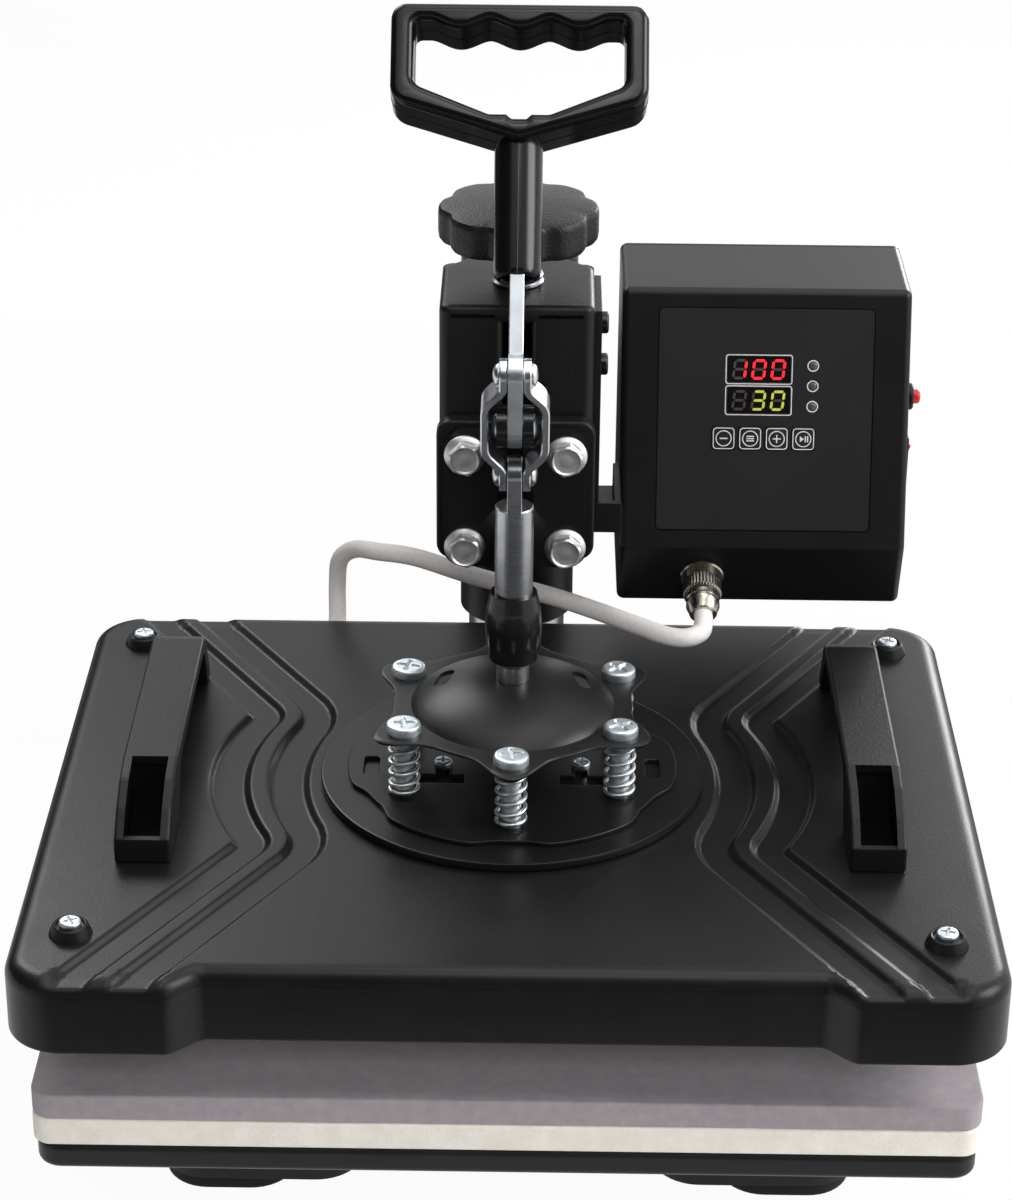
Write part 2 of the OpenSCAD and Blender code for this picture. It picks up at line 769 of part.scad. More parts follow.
function unit(v) = v / norm(v);
function heading(line, i) =
  i == 0 ? unit(line[1] - line[0])
  : i == len(line) - 1 ? unit(line[i] - line[i - 1])
  : unit(line[i + 1] - line[i - 1]);

// closed tube of n sides around a line of points; "side" must never lie along the line
module tube(line, d, n, side) {
  last = len(line) - 1;
  ring = [
    for (i = [0 : last])
      let (t = heading(line, i))
      let (u = unit(cross(t, side)), v = cross(t, u))
      for (k = [0 : n - 1])
        line[i] + d / 2 * (cos(k * 360 / n) * u + sin(k * 360 / n) * v)
  ];
  walls = [
    for (i = [0 : last - 1], k = [0 : n - 1], half = [0, 1])
      half == 0 ? [i * n + k, i * n + (k + 1) % n, (i + 1) * n + (k + 1) % n]
      : [i * n + k, (i + 1) * n + (k + 1) % n, (i + 1) * n + k]
  ];
  ends = [
    [for (k = [n - 1 : -1 : 0]) k],
    [for (k = [0 : n - 1]) last * n + k]
  ];
  polyhedron(points = ring, faces = concat(walls, ends), convexity = 10);
}

module heater_lead() color("#e4ded8") at_rod() tube(lead_line, lead_d, lead_sides, [1, -1, 1]);

// Pressure carriage

// flat plate that slides on the box front
module slide_plate() color("#2a2a2c") at_rod() difference() {
  translate([0, slide_y, bolt_z + 1]) along_y(slide_t) round_rect(slide_w, slide_h, 7);
  four_bolts() translate([0, slide_y - 1, 0]) rotate([-90, 0, 0]) cylinder(d = stud_d, h = slide_t + 2);
}

// threaded block inside the box, its neck runs in the slot
module screw_nut() color("#8f9499") at_rod() difference() {
  union() {
    translate([-box_w / 2 + box_wall + 3, box_back + box_wall + 3, bolt_z - 14])
      cube([box_w - 2 * box_wall - 6, box_d - 2 * box_wall - 6, 32]);
    translate([-slot_w / 2 + 0.5, slide_y + slide_t, bolt_z - 14]) cube([slot_w - 1, box_wall + slide_gap + 4, 32]);
  }
  translate([0, screw_y, bolt_z - 20]) cylinder(d = screw_d + 2 * run_gap, h = 50);
}

// casting with base plate, two ears, a web and the barrel guide
module toggle_body() color("#141415") at_rod() difference() {
  union() {
    translate([0, toggle_y, bolt_z]) along_y(toggle_t) round_rect(bolt_step + 19, bolt_step + 19, 9);
    for (s = [-1, 1]) translate([s * (ear_in + ear_t / 2), 0, 0]) along_x(ear_t) {
      translate([-pivot_set, pivot_z]) circle(9);
      polygon([
        [-pivot_set - 1, pivot_z + 9],
        [toggle_y + 1, bolt_z + bolt_step / 2 + 8],
        [toggle_y + 1, bolt_z - 2],
        [rod_d / 2 + 14, bolt_z + 14],
        [-pivot_set + 8, pivot_z - 4]
      ]);
    }
    translate([0, 0, bush_z]) rotate_extrude() polygon([
      [0, 0],
      [bush_d / 2 - 1.8, 0],
      [bush_d / 2 - 0.5, bush_h * 0.25],
      [bush_d / 2, bush_h * 0.5],
      [bush_d / 2 - 0.6, bush_h * 0.75],
      [bush_d / 2 - 2.2, bush_h],
      [0, bush_h]
    ]);
    translate([-7, bush_d / 2 - 5, bush_z + 4]) cube([14, toggle_y - bush_d / 2 + 6, bush_h - 8]);
    along_x(14) polygon([
      [toggle_y + 1, bolt_z],
      [toggle_y + 1, bush_z + 10],
      [toggle_y - 14, bush_z + bush_h - 5]
    ]);
  }
  translate([0, 0, bush_z - 1]) cylinder(d = rod_d + 2 * run_gap, h = bush_h + 2);
  translate([0, -pivot_set, pivot_z]) rotate([0, 90, 0]) cylinder(d = pivot_d, h = 40, center = true);
  four_bolts() translate([0, toggle_y - 1, 0]) rotate([-90, 0, 0]) cylinder(d = stud_d + 0.4, h = toggle_t + 2);
}

// four flange bolts that hold the toggle to the slide plate
module hex_bolts() color("#c3c6ca") at_rod() four_bolts() translate([0, toggle_y, 0]) rotate([90, 0, 0]) {
  translate([0, 0, -toggle_t - slide_t]) cylinder(d = stud_d, h = toggle_t + slide_t);
  cylinder(d1 = 17.9, d2 = 14.5, h = 2.6);
  cylinder(d = 15, h = 7.4, $fn = 6);
}

// riveted pin of the lever pivot
module pivot_pin() color("#b8bcc0") at_rod() translate([0, -pivot_set, pivot_z]) {
  rotate([0, 90, 0]) cylinder(d = pivot_d, h = 2 * ear_out, center = true);
  for (s = [-1, 1]) rotate([0, s * 90, 0]) translate([0, 0, ear_out]) dome_cap(11, 2);
}

// Adjusting screw

// spindle with a collar under the box top
module pressure_screw() color("#c6c9cd") at_rod() translate([0, screw_y, 0]) {
  translate([0, 0, bolt_z - 26]) cylinder(d = screw_d, h = knob_z + 10 - bolt_z + 26);
  translate([0, 0, box_top - box_wall - 4.3]) cylinder(d = 20, h = 4);
}

// bright hex nut that locks the knob
module knob_nut() color("#cfd2d6") at_rod() translate([0, screw_y, nut_z]) difference() {
  union() {
    cylinder(d = nut_d + 1.6, h = 2.5);
    cylinder(d = nut_d, h = knob_z - knob_hub - nut_z, $fn = 6);
  }
  translate([0, 0, -1]) cylinder(d = screw_d, h = knob_rise);
}

// lobed knob with a domed top
module pressure_knob() color("#18181a") at_rod() translate([0, screw_y, knob_z]) difference() {
  union() {
    linear_extrude(knob_h) {
      circle(d = knob_d - 7);
      for (k = [0 : knob_lobes - 1]) rotate(k * 360 / knob_lobes) translate([knob_d / 2 - 9, 0]) circle(9);
    }
    translate([0, 0, knob_h]) dome_cap(knob_d - 10, 3);
    translate([0, 0, -knob_hub]) cylinder(d = nut_d + 4, h = knob_hub + 0.01);
  }
  translate([0, 0, -knob_hub - 1]) cylinder(d = screw_d, h = knob_hub + 11);
}

// Lever

// flat bar with pivot hole and link pin hole
module lever_bar() color("#b9bdc2") at_rod() translate([0, -pivot_set, pivot_z]) along_x(lever_t) difference() {
  union() {
    circle(9);
    translate([0, crank_r]) circle(9);
    translate([-9, 0]) square([18, crank_r]);
    rotate(-lever_lean) translate([-lever_w / 2, 4]) square([lever_w, stem_from + 26]);
  }
  circle(d = pivot_d + 2 * run_gap);
  translate([0, crank_r]) circle(d = rivet_d + 2 * run_gap);
}

// loop of the handle: straight sides and two arms that meet at the stem
module grip_outline() {
  half = grip_w / 2;
  polygon([
    [0, stem_to],
    [half - 4, stem_to + 14.5],
    [half, stem_to + 20],
    [half, grip_to - 6],
    [half - 1.8, grip_to - 1.8],
    [half - 6, grip_to],
    [-half + 6, grip_to],
    [-half + 1.8, grip_to - 1.8],
    [-half, grip_to - 6],
    [-half, stem_to + 20],
    [-half + 4, stem_to + 14.5]
  ]);
}

// opening of the loop, its top edge bumped between the fingers
module grip_window() {
  half = grip_w / 2 - 9.5;
  low = stem_to + 11;
  high = grip_to - grip_bar;
  bump_r = 12.5;
  difference() {
    polygon([
      [-12.5, low],
      [12.5, low],
      [half, low + 12.5],
      [half, high - 3],
      [half - 4, high],
      [-half + 4, high],
      [-half, high - 3],
      [-half, low + 12.5]
    ]);
    for (k = [-1 : 1]) translate([k * bump_step, high - bump_deep + bump_r]) circle(bump_r);
  }
}

// moulded loop handle with a round stem on the bar
module handle_grip() color("#0f0f10") on_lever() difference() {
  union() {
    translate([0, -grip_t / 2, 0]) along_y(grip_t) difference() {
      grip_outline();
      grip_window();
    }
    translate([0, 0, stem_from]) cylinder(d = stem_d, h = stem_to + 6 - stem_from);
  }
  translate([-lever_t / 2, -lever_w / 2, stem_from - 1]) cube([lever_t, lever_w, 31]);
}

// Links

module strap_side() {
  w = strap_t;
  a = strap_in;
  b = bulge_in;
  l = link_len;
  polygon([
    [a, -strap_w / 2],
    [a, 6],
    [b, 14],
    [b, l - 13.4],
    [a, l - 6],
    [a, l + strap_w / 2],
    [a + w, l + strap_w / 2],
    [a + w, l - 4.7],
    [b + w, l - 12],
    [b + w, 12.6],
    [a + w, 4.7],
    [a + w, -strap_w / 2]
  ]);
}

module strap() intersection() {
  difference() {
    translate([0, -strap_w / 2, 0]) along_y(strap_w) strap_side();
    for (z = [0, link_len]) translate([0, 0, z]) rotate([0, 90, 0]) cylinder(d = rivet_d, h = 60, center = true);
  }
  along_x(80) {
    circle(strap_w / 2);
    translate([0, link_len]) circle(strap_w / 2);
    translate([-strap_w / 2, 0]) square([strap_w, link_len]);
  }
}

module link_right() color("#aeb3b8") on_link() strap();
module link_left() color("#aeb3b8") on_link() mirror([1, 0, 0]) strap();

// upper pin through both straps and the lever, lower rivets in each strap
module link_rivets() color("#b8bcc0") on_link() {
  translate([0, 0, link_len]) rotate([0, 90, 0]) cylinder(d = rivet_d, h = 2 * (strap_in + strap_t), center = true);
  for (s = [-1, 1]) {
    translate([s * (strap_in + strap_t), 0, link_len]) rotate([0, s * 90, 0]) dome_cap(10, 2.8);
    translate([s * strap_in, 0, 0]) rotate([0, s * 90, 0]) {
      cylinder(d = rivet_d, h = strap_t);
      translate([0, 0, strap_t]) dome_cap(10, 2.8);
    }
  }
}

// Plunger

// ground rod with a milled tongue above and a stud below
module plunger_rod() color("#a9adb1") at_rod() {
  translate([0, 0, bush_z - 2]) cylinder(d = rod_d, h = tongue_z - bush_z + 2);
  translate([0, 0, dome_top]) cylinder(d = rod_d - 2, h = bush_z - 2 - dome_top);
  translate([0, 0, star_top - 4]) cylinder(d = stud_d, h = dome_top - star_top + 4);
  intersection() {
    translate([0, 0, tongue_z - 1]) cylinder(d = rod_d, h = 40);
    along_x(tongue_t) {
      translate([-rod_d / 2, tongue_z - 1]) square([rod_d, pin_z - tongue_z + 1]);
      translate([0, pin_z]) circle(rod_d / 2);
    }
  }
}

// nut on the stud under the dome
module plunger_nut() color("#b8bcc0") at_rod() translate([0, 0, dome_top - star_t - 7]) difference() {
  cylinder(d = 15, h = 7, $fn = 6);
  translate([0, 0, -1]) cylinder(d = stud_d, h = 9);
}

// pressed star with six lobes and a domed middle
module star_plate() color("#1a1a1b") at_rod() difference() {
  union() {
    translate([0, 0, star_z]) linear_extrude(star_t) difference() {
      union() {
        circle(ring_r - 3);
        for (k = [0 : 5]) rotate(k * 60 - 90) translate([ring_r, 0]) circle(13.5);
      }
      circle(dome_d / 2 - star_t);
      for (k = [0 : 5]) rotate(k * 60 - 90) translate([ring_r, 0]) circle(d = shank_d + 0.6);
    }
    translate([0, 0, star_z]) rotate_extrude() polygon([
      [dome_d / 2 - star_t - 0.5, 0],
      [dome_d / 2, 0],
      [dome_d / 2, star_t],
      [dome_d / 2 - 5, star_t + dome_h * 0.5],
      [dome_d / 2 - 12, star_t + dome_h * 0.85],
      [dome_d / 2 - 20, star_t + dome_h],
      [stud_d / 2 + 0.2, star_t + dome_h],
      [stud_d / 2 + 0.2, dome_h],
      [dome_d / 2 - 20.5, dome_h],
      [dome_d / 2 - 13.5, dome_h * 0.85],
      [dome_d / 2 - 7, dome_h * 0.5]
    ]);
  }
  for (a = [15, 165]) rotate(a) translate([28, -5.75, dome_top - 4]) cube([4.5, 11.5, 8]);
}

// Heat platen

// sideways and forward place of the two small adapter screws
slot_x = 29.5;
slot_y = -3;

// plate with a shallow scallop beside each spring
module adapter_plate() color("#19191a") at_rod() difference() {
  scallop_r = 24;
  translate([0, 0, disc_top]) linear_extrude(adapter_t) difference() {
    circle(ring_r + 18);
    for (k = [0 : 5]) rotate(k * 60 - 90) translate([ring_r + 14 + scallop_r, 0]) circle(scallop_r);
    for (s = [-1, 1]) {
      translate([s * 60, slot_y - 1]) square([6.3, 16], center = true);
      translate([s * slot_x, slot_y - 12]) square([18.5, 7.5], center = true);
      translate([s * slot_x, slot_y - 5]) square([5, 16], center = true);
    }
  }
  six() translate([0, 0, disc_top - 1]) cylinder(d = shank_d, h = adapter_t + 2);
}

// two small screws in the T-shaped slots
module adapter_screws() color("#c3c6ca") at_rod() {
  for (s = [-1, 1]) translate([s * slot_x, slot_y, disc_top]) {
    translate([0, 0, -2]) cylinder(d = 4, h = adapter_t + 2);
    translate([0, 0, adapter_t]) dome_cap(8, 2.6);
  }
}

// round plate on the cover
module round_disc() color("#1b1b1c") at_rod() difference() {
  translate([0, 0, cover_top]) cylinder(d = disc_d, h = disc_t);
  six() translate([0, 0, cover_top + 1]) cylinder(d = shank_d, h = disc_t);
  for (s = [-1, 1]) translate([s * slot_x, slot_y, disc_top - 2]) cylinder(d = 4, h = 4);
}

// six shoulder screws that carry the platen from the star
module shoulder_screws() color("#c7cace") at_rod() six() {
  translate([0, 0, cover_top + 1]) cylinder(d = shank_d, h = star_top - cover_top - 1);
  translate([0, 0, star_top]) cylinder(d = head_d, h = 1);
  translate([0, 0, star_top + 1]) dome_cap(head_d, head_h - 1);
}

// climb of the spring wire after n turns: close end turns, open turns between them
function climb(n) =
  n < 1 ? n * end_pitch
  : n < 1 + active_turns ? end_pitch + (n - 1) * active_pitch
  : end_pitch + active_turns * active_pitch + (n - 1 - active_turns) * end_pitch;
spring_line = [
  for (i = [0 : spring_rings])
    let (a = i * 360 / rings_per_turn)
    [spring_mean * cos(a), spring_mean * sin(a), wire_d / 2 + climb(i / rings_per_turn)]
];
spring_gap = min([
  for (i = [0 : spring_rings], j = [i + 5 : 1 : spring_rings]) norm(spring_line[i] - spring_line[j])
]) - wire_d;
echo("least gap between spring curls", spring_gap);

// six open coil springs
module springs() color("#b4b8bc") at_rod() six() translate([0, 0, adapter_top])
  tube(spring_line, wire_d, 6, [0, 0, 1]);

module cover_plan(in) {
  front = -cover_d / 2 + in;
  mid_l = -125;
  mid_r = 129;
  difference() {
    round_rect(cover_w - 2 * in, cover_d - 2 * in, cover_corner - in);
    polygon([
      [mid_l - 7 - in, front - 1],
      [mid_l + 6 - in, front + front_recess],
      [mid_r - 5 + in, front + front_recess],
      [mid_r + 5 + in, front - 1]
    ]);
  }
}

// one styling groove on the left half, between two bent lines from rear to front
module groove(shift) {
  w = 15.5;
  line = [
    [-179.5, cover_d / 2 + 4],
    [-116, 62],
    [-129, 6],
    [-113.5, -50.5],
    [-173, -150],
    [-181.5, -cover_d / 2 - 4]
  ];
  polygon(concat(
    [for (p = line) p + [shift, 0]],
    [for (i = [len(line) - 1 : -1 : 0]) line[i] + [shift + w, 0]]
  ));
}

// deep-drawn cover with four corner bosses
module heat_cover() color("#202022") at_rod() translate([0, -cover_set, cover_z]) difference() {
  union() {
    intersection() {
      linear_extrude(cover_h) cover_plan(0);
      translate([0, cover_d / 2, 0]) rotate([90, 0, 0]) linear_extrude(cover_d) soft_top(cover_w);
      along_x(cover_w) soft_top(cover_d);
    }
    corner_places() translate([0, 0, cover_h]) dome_cap(18, 4);
  }
  difference() {
    translate([0, 0, -1]) linear_extrude(cover_h - 5) cover_plan(3);
    corner_places() translate([0, 0, heat_t - plate_drop]) cylinder(d = 14, h = cover_h);
  }
  for (s = [0, 1]) mirror([s, 0, 0])
    for (shift = [0, 25])
      translate([0, 0, cover_h - groove_depth]) linear_extrude(groove_depth + 1) groove(shift);
  corner_places() {
    translate([0, 0, -1]) cylinder(d = 5, h = cover_h + 8);
    translate([0, 0, cover_h + 3]) cylinder(d = 9.6, h = 3);
  }
  translate([gland_x, cover_d / 2 - 4, gland_z - cover_z]) rotate([-90, 0, 0]) cylinder(d = 9, h = 6);
}

module soft_top(w) {
  translate([-w / 2, 0]) square([w, cover_h - cover_edge]);
  translate([-w / 2 + cover_edge, 0]) square([w - 2 * cover_edge, cover_h]);
  for (s = [-1, 1]) translate([s * (w / 2 - cover_edge), cover_h - cover_edge]) circle(cover_edge);
}

module corner_places() {
  for (sx = [-1, 1], sy = [-1, 1]) translate([sx * corner_x, sy * corner_y + 3, 0]) children();
}

// zinc screws through the corner bosses into the heating plate
module cover_screws() color("#c7cace") at_rod() translate([0, -cover_set, cover_z]) corner_places() {
  translate([0, 0, heat_t - plate_drop - 8]) cylinder(d = 5, h = cover_h - heat_t + plate_drop + 11);
  translate([0, 0, cover_h + 3]) cylinder(d = 9, h = 1.2);
  translate([0, 0, cover_h + 4.2]) dome_cap(9, 2);
}

// aluminium plate with the heating element cast in
module heating_plate() color("#9a9da0") at_rod() translate([0, -cover_set, cover_z - plate_drop]) difference() {
  translate([0, 3, 0]) linear_extrude(heat_t) round_rect(cover_w - 14, cover_d - 2 * front_recess - 14, 16);
  corner_places() translate([0, 0, heat_t - 8]) cylinder(d = 5, h = 9);
}

// two bridge handles on the cover, each with a deep screw pocket in its sloping front leg
module side_handles() color("#141415") at_rod() for (s = [-1, 1])
  translate([s * side_x, 0, cover_top]) difference() {
    sill = 11;
    along_x(side_w) difference() {
      polygon([
        [-78, 0],
        [-78, sill],
        [-67, side_h - 8.5],
        [-53, side_h - 2.5],
        [-38, side_h],
        [70, side_h],
        [79, side_h - 3],
        [92, 0]
      ]);
      polygon([
        [-44, -1],
        [-30, side_h - side_t - 1.5],
        [-23, side_h - side_t],
        [66, side_h - side_t],
        [71, side_h - side_t - 1],
        [80, -1]
      ]);
    }
    along_x(side_w - 8) polygon([
      [-74.5, sill - 6],
      [-49, sill - 6],
      [-37, side_h - 5],
      [-39.5, side_h + 2],
      [-80, side_h + 2],
      [-80, sill],
      [-74.5, sill]
    ]);
  }

// bushing of the heater lead in the rear wall of the cover
module lead_gland() color("#1b1b1c") at_rod() translate([gland_x, gland_y, gland_z]) rotate([90, 0, 0]) {
  cylinder(d = 13, h = gland_len);
  cylinder(d = 9, h = gland_len + 3);
}

base_frame();
rubber_feet();
pedestal();
pedestal_bolts();
lower_platen();
felt_pad();
silicone_pad();
post();
post_bolts();
swing_sleeve();
sleeve_cap();
head_arm();
head_box();
screw_collar();
control_bracket();
bracket_screws();
control_shell();
control_back();
panel_overlay();
displays();
indicator_lamps();
key_mode();
key_up();
key_down();
key_start();
rocker_bezel();
power_rocker();
reset_collar();
reset_button();
power_inlet();
lead_socket();
lead_plug();
heater_lead();
slide_plate();
screw_nut();
toggle_body();
hex_bolts();
pivot_pin();
pressure_screw();
knob_nut();
pressure_knob();
lever_bar();
handle_grip();
link_right();
link_left();
link_rivets();
plunger_rod();
plunger_nut();
star_plate();
adapter_plate();
adapter_screws();
round_disc();
shoulder_screws();
springs();
heat_cover();
cover_screws();
heating_plate();
side_handles();
lead_gland();
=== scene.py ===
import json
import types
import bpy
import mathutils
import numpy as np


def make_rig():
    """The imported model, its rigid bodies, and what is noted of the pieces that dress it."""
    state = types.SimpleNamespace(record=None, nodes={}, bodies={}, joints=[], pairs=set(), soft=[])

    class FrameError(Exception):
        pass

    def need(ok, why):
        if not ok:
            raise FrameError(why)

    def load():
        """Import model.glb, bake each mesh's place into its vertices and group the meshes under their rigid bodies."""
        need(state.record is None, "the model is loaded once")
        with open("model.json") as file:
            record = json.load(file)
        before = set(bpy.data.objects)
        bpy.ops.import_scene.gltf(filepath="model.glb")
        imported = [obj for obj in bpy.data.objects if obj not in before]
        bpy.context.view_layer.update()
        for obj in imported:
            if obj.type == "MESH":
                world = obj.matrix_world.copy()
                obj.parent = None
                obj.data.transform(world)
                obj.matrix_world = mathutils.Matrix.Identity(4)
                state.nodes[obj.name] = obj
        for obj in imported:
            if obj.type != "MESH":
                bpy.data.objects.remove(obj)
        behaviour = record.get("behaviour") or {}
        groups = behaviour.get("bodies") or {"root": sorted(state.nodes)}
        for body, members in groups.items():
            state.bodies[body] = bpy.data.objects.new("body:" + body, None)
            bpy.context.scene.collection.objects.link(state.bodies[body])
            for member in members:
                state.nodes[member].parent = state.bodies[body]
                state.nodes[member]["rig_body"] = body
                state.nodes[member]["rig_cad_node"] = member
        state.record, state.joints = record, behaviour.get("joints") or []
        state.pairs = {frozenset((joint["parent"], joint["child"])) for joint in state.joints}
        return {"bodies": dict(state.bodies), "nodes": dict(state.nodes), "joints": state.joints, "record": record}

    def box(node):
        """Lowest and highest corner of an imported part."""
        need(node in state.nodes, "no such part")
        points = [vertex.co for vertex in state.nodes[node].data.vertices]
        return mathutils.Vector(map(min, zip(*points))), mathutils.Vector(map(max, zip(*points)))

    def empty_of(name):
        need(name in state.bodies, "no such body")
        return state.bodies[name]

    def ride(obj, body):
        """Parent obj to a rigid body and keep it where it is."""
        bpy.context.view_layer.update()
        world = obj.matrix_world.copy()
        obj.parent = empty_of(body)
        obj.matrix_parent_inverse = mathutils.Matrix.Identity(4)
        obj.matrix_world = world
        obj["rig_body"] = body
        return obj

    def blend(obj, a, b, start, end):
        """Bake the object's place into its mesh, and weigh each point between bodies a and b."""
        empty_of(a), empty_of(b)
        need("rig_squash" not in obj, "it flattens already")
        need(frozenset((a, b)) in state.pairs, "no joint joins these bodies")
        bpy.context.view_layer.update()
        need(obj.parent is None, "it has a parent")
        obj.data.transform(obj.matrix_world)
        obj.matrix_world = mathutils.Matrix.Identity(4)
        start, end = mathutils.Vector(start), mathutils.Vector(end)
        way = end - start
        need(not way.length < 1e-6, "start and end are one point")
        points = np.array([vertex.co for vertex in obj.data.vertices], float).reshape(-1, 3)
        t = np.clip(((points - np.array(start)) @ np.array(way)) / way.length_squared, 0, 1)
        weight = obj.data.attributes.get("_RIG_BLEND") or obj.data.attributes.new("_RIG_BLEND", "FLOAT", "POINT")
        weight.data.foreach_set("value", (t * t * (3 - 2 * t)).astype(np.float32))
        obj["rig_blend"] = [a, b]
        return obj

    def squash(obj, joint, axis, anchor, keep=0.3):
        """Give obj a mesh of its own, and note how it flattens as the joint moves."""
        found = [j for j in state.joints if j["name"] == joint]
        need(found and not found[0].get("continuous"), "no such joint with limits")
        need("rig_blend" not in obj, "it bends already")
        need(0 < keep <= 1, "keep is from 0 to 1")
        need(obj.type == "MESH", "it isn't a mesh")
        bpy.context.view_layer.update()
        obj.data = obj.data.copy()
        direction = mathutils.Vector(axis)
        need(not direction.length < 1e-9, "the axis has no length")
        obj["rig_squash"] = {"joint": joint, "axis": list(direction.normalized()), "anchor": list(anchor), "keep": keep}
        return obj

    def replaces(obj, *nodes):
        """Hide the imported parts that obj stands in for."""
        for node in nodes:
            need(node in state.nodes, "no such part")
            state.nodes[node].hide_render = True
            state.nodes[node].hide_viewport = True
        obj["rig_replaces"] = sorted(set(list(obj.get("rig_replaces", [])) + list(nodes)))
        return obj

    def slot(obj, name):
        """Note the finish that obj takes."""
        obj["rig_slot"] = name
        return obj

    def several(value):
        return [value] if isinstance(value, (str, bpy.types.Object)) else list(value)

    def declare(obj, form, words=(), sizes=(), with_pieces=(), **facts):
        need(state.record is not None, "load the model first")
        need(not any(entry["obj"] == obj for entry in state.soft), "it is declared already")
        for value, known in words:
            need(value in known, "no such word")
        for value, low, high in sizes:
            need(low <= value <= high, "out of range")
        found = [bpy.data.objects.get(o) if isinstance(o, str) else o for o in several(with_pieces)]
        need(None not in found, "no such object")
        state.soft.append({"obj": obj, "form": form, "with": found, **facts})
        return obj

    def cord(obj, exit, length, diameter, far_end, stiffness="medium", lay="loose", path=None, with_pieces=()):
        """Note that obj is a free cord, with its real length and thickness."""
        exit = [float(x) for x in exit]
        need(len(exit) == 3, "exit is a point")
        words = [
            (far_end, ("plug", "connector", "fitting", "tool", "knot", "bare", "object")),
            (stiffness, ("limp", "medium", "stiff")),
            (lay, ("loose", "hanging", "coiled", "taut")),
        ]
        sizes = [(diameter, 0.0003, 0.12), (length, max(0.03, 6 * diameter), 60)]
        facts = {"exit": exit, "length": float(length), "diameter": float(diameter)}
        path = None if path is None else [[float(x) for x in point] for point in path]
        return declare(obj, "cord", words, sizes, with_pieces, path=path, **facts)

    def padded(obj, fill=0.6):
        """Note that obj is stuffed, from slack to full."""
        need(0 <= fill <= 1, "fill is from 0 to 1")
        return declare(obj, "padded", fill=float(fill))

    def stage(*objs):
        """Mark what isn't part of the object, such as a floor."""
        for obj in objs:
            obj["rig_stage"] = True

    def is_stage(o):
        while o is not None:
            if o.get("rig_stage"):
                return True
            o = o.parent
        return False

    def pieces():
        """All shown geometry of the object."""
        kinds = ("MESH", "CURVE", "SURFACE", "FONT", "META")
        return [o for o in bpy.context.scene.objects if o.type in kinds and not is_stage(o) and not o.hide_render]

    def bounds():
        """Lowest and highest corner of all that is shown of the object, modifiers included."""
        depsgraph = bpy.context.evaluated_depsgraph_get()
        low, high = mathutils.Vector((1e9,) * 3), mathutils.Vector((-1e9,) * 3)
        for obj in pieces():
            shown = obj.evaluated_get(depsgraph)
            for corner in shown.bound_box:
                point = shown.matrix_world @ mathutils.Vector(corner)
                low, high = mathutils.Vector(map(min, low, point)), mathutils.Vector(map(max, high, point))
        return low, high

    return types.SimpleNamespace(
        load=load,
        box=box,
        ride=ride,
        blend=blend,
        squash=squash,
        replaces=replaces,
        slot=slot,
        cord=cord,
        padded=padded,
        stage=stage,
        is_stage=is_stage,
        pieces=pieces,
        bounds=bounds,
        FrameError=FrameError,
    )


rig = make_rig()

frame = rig.load()

import json
import math

import bmesh
import bpy
import numpy as np
from mathutils import Matrix, Vector, noise

cad_low, cad_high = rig.bounds()
scene = bpy.context.scene
scene.view_settings.view_transform = "Standard"


# The photographer's table: a wide white sweep under the press and the camera a little over
# a metre in front of it, looking down at the cover. The main soft box stands on the right.
# Black cards round the press, out of the camera's sight, keep its enamel dark.
def placed(name, data):
    """A new object in the scene."""
    made = bpy.data.objects.new(name, data)
    scene.collection.objects.link(made)
    return made


camera_data = bpy.data.cameras.new("camera")
camera_data.sensor_width = 36
camera_data.lens = 95.6
camera = placed("camera", camera_data)
camera.location = (0.0087, -1.2343, 0.8276)
aim = Matrix.Rotation(math.radians(0.57), 3, "Z") @ Matrix.Rotation(math.radians(63.86), 3, "X")
camera.rotation_euler = (aim @ Matrix.Rotation(math.radians(0.45), 3, "Z")).to_euler()
scene.camera = camera


def wired(tree, kind, values=None, links=None):
    """A shader node with its input values set and its inputs linked."""
    made = tree.nodes.new("ShaderNode" + kind)
    for socket, value in (values or {}).items():
        made.inputs[socket].default_value = value
    for socket, source in (links or {}).items():
        tree.links.new(source, made.inputs[socket])
    return made


def worked(tree, operation, first, second):
    """One step of arithmetic on an output; second is another output or a number."""
    step = wired(tree, "Math", links={0: first})
    step.operation = operation
    if isinstance(second, float):
        step.inputs[1].default_value = second
    else:
        tree.links.new(second, step.inputs[1])
    return step.outputs[0]


def seen_directly(tree, share):
    """Gives share to rays from the camera, from gloss and through glass, and 0 to the rest."""
    rays = wired(tree, "LightPath").outputs
    total = rays["Is Camera Ray"]
    for kind in ("Is Glossy Ray", "Is Transmission Ray"):
        total = worked(tree, "MAXIMUM", total, rays[kind])
    return worked(tree, "MULTIPLY", total, share)


def new_look(name, values):
    """A new material with its tree and its surface, the surface's plain settings made."""
    look = bpy.data.materials.new(name)
    look.use_nodes = True
    skin = look.node_tree.nodes["Principled BSDF"]
    for socket, value in values.items():
        skin.inputs[socket].default_value = value
    return look, look.node_tree, skin


def stood(name, corners, look):
    """A flat sheet of the studio, which isn't part of the press."""
    mesh = bpy.data.meshes.new(name)
    mesh.from_pydata(corners, [], [(0, 1, 2, 3)])
    mesh.materials.append(look)
    made = placed(name, mesh)
    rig.stage(made)
    return made


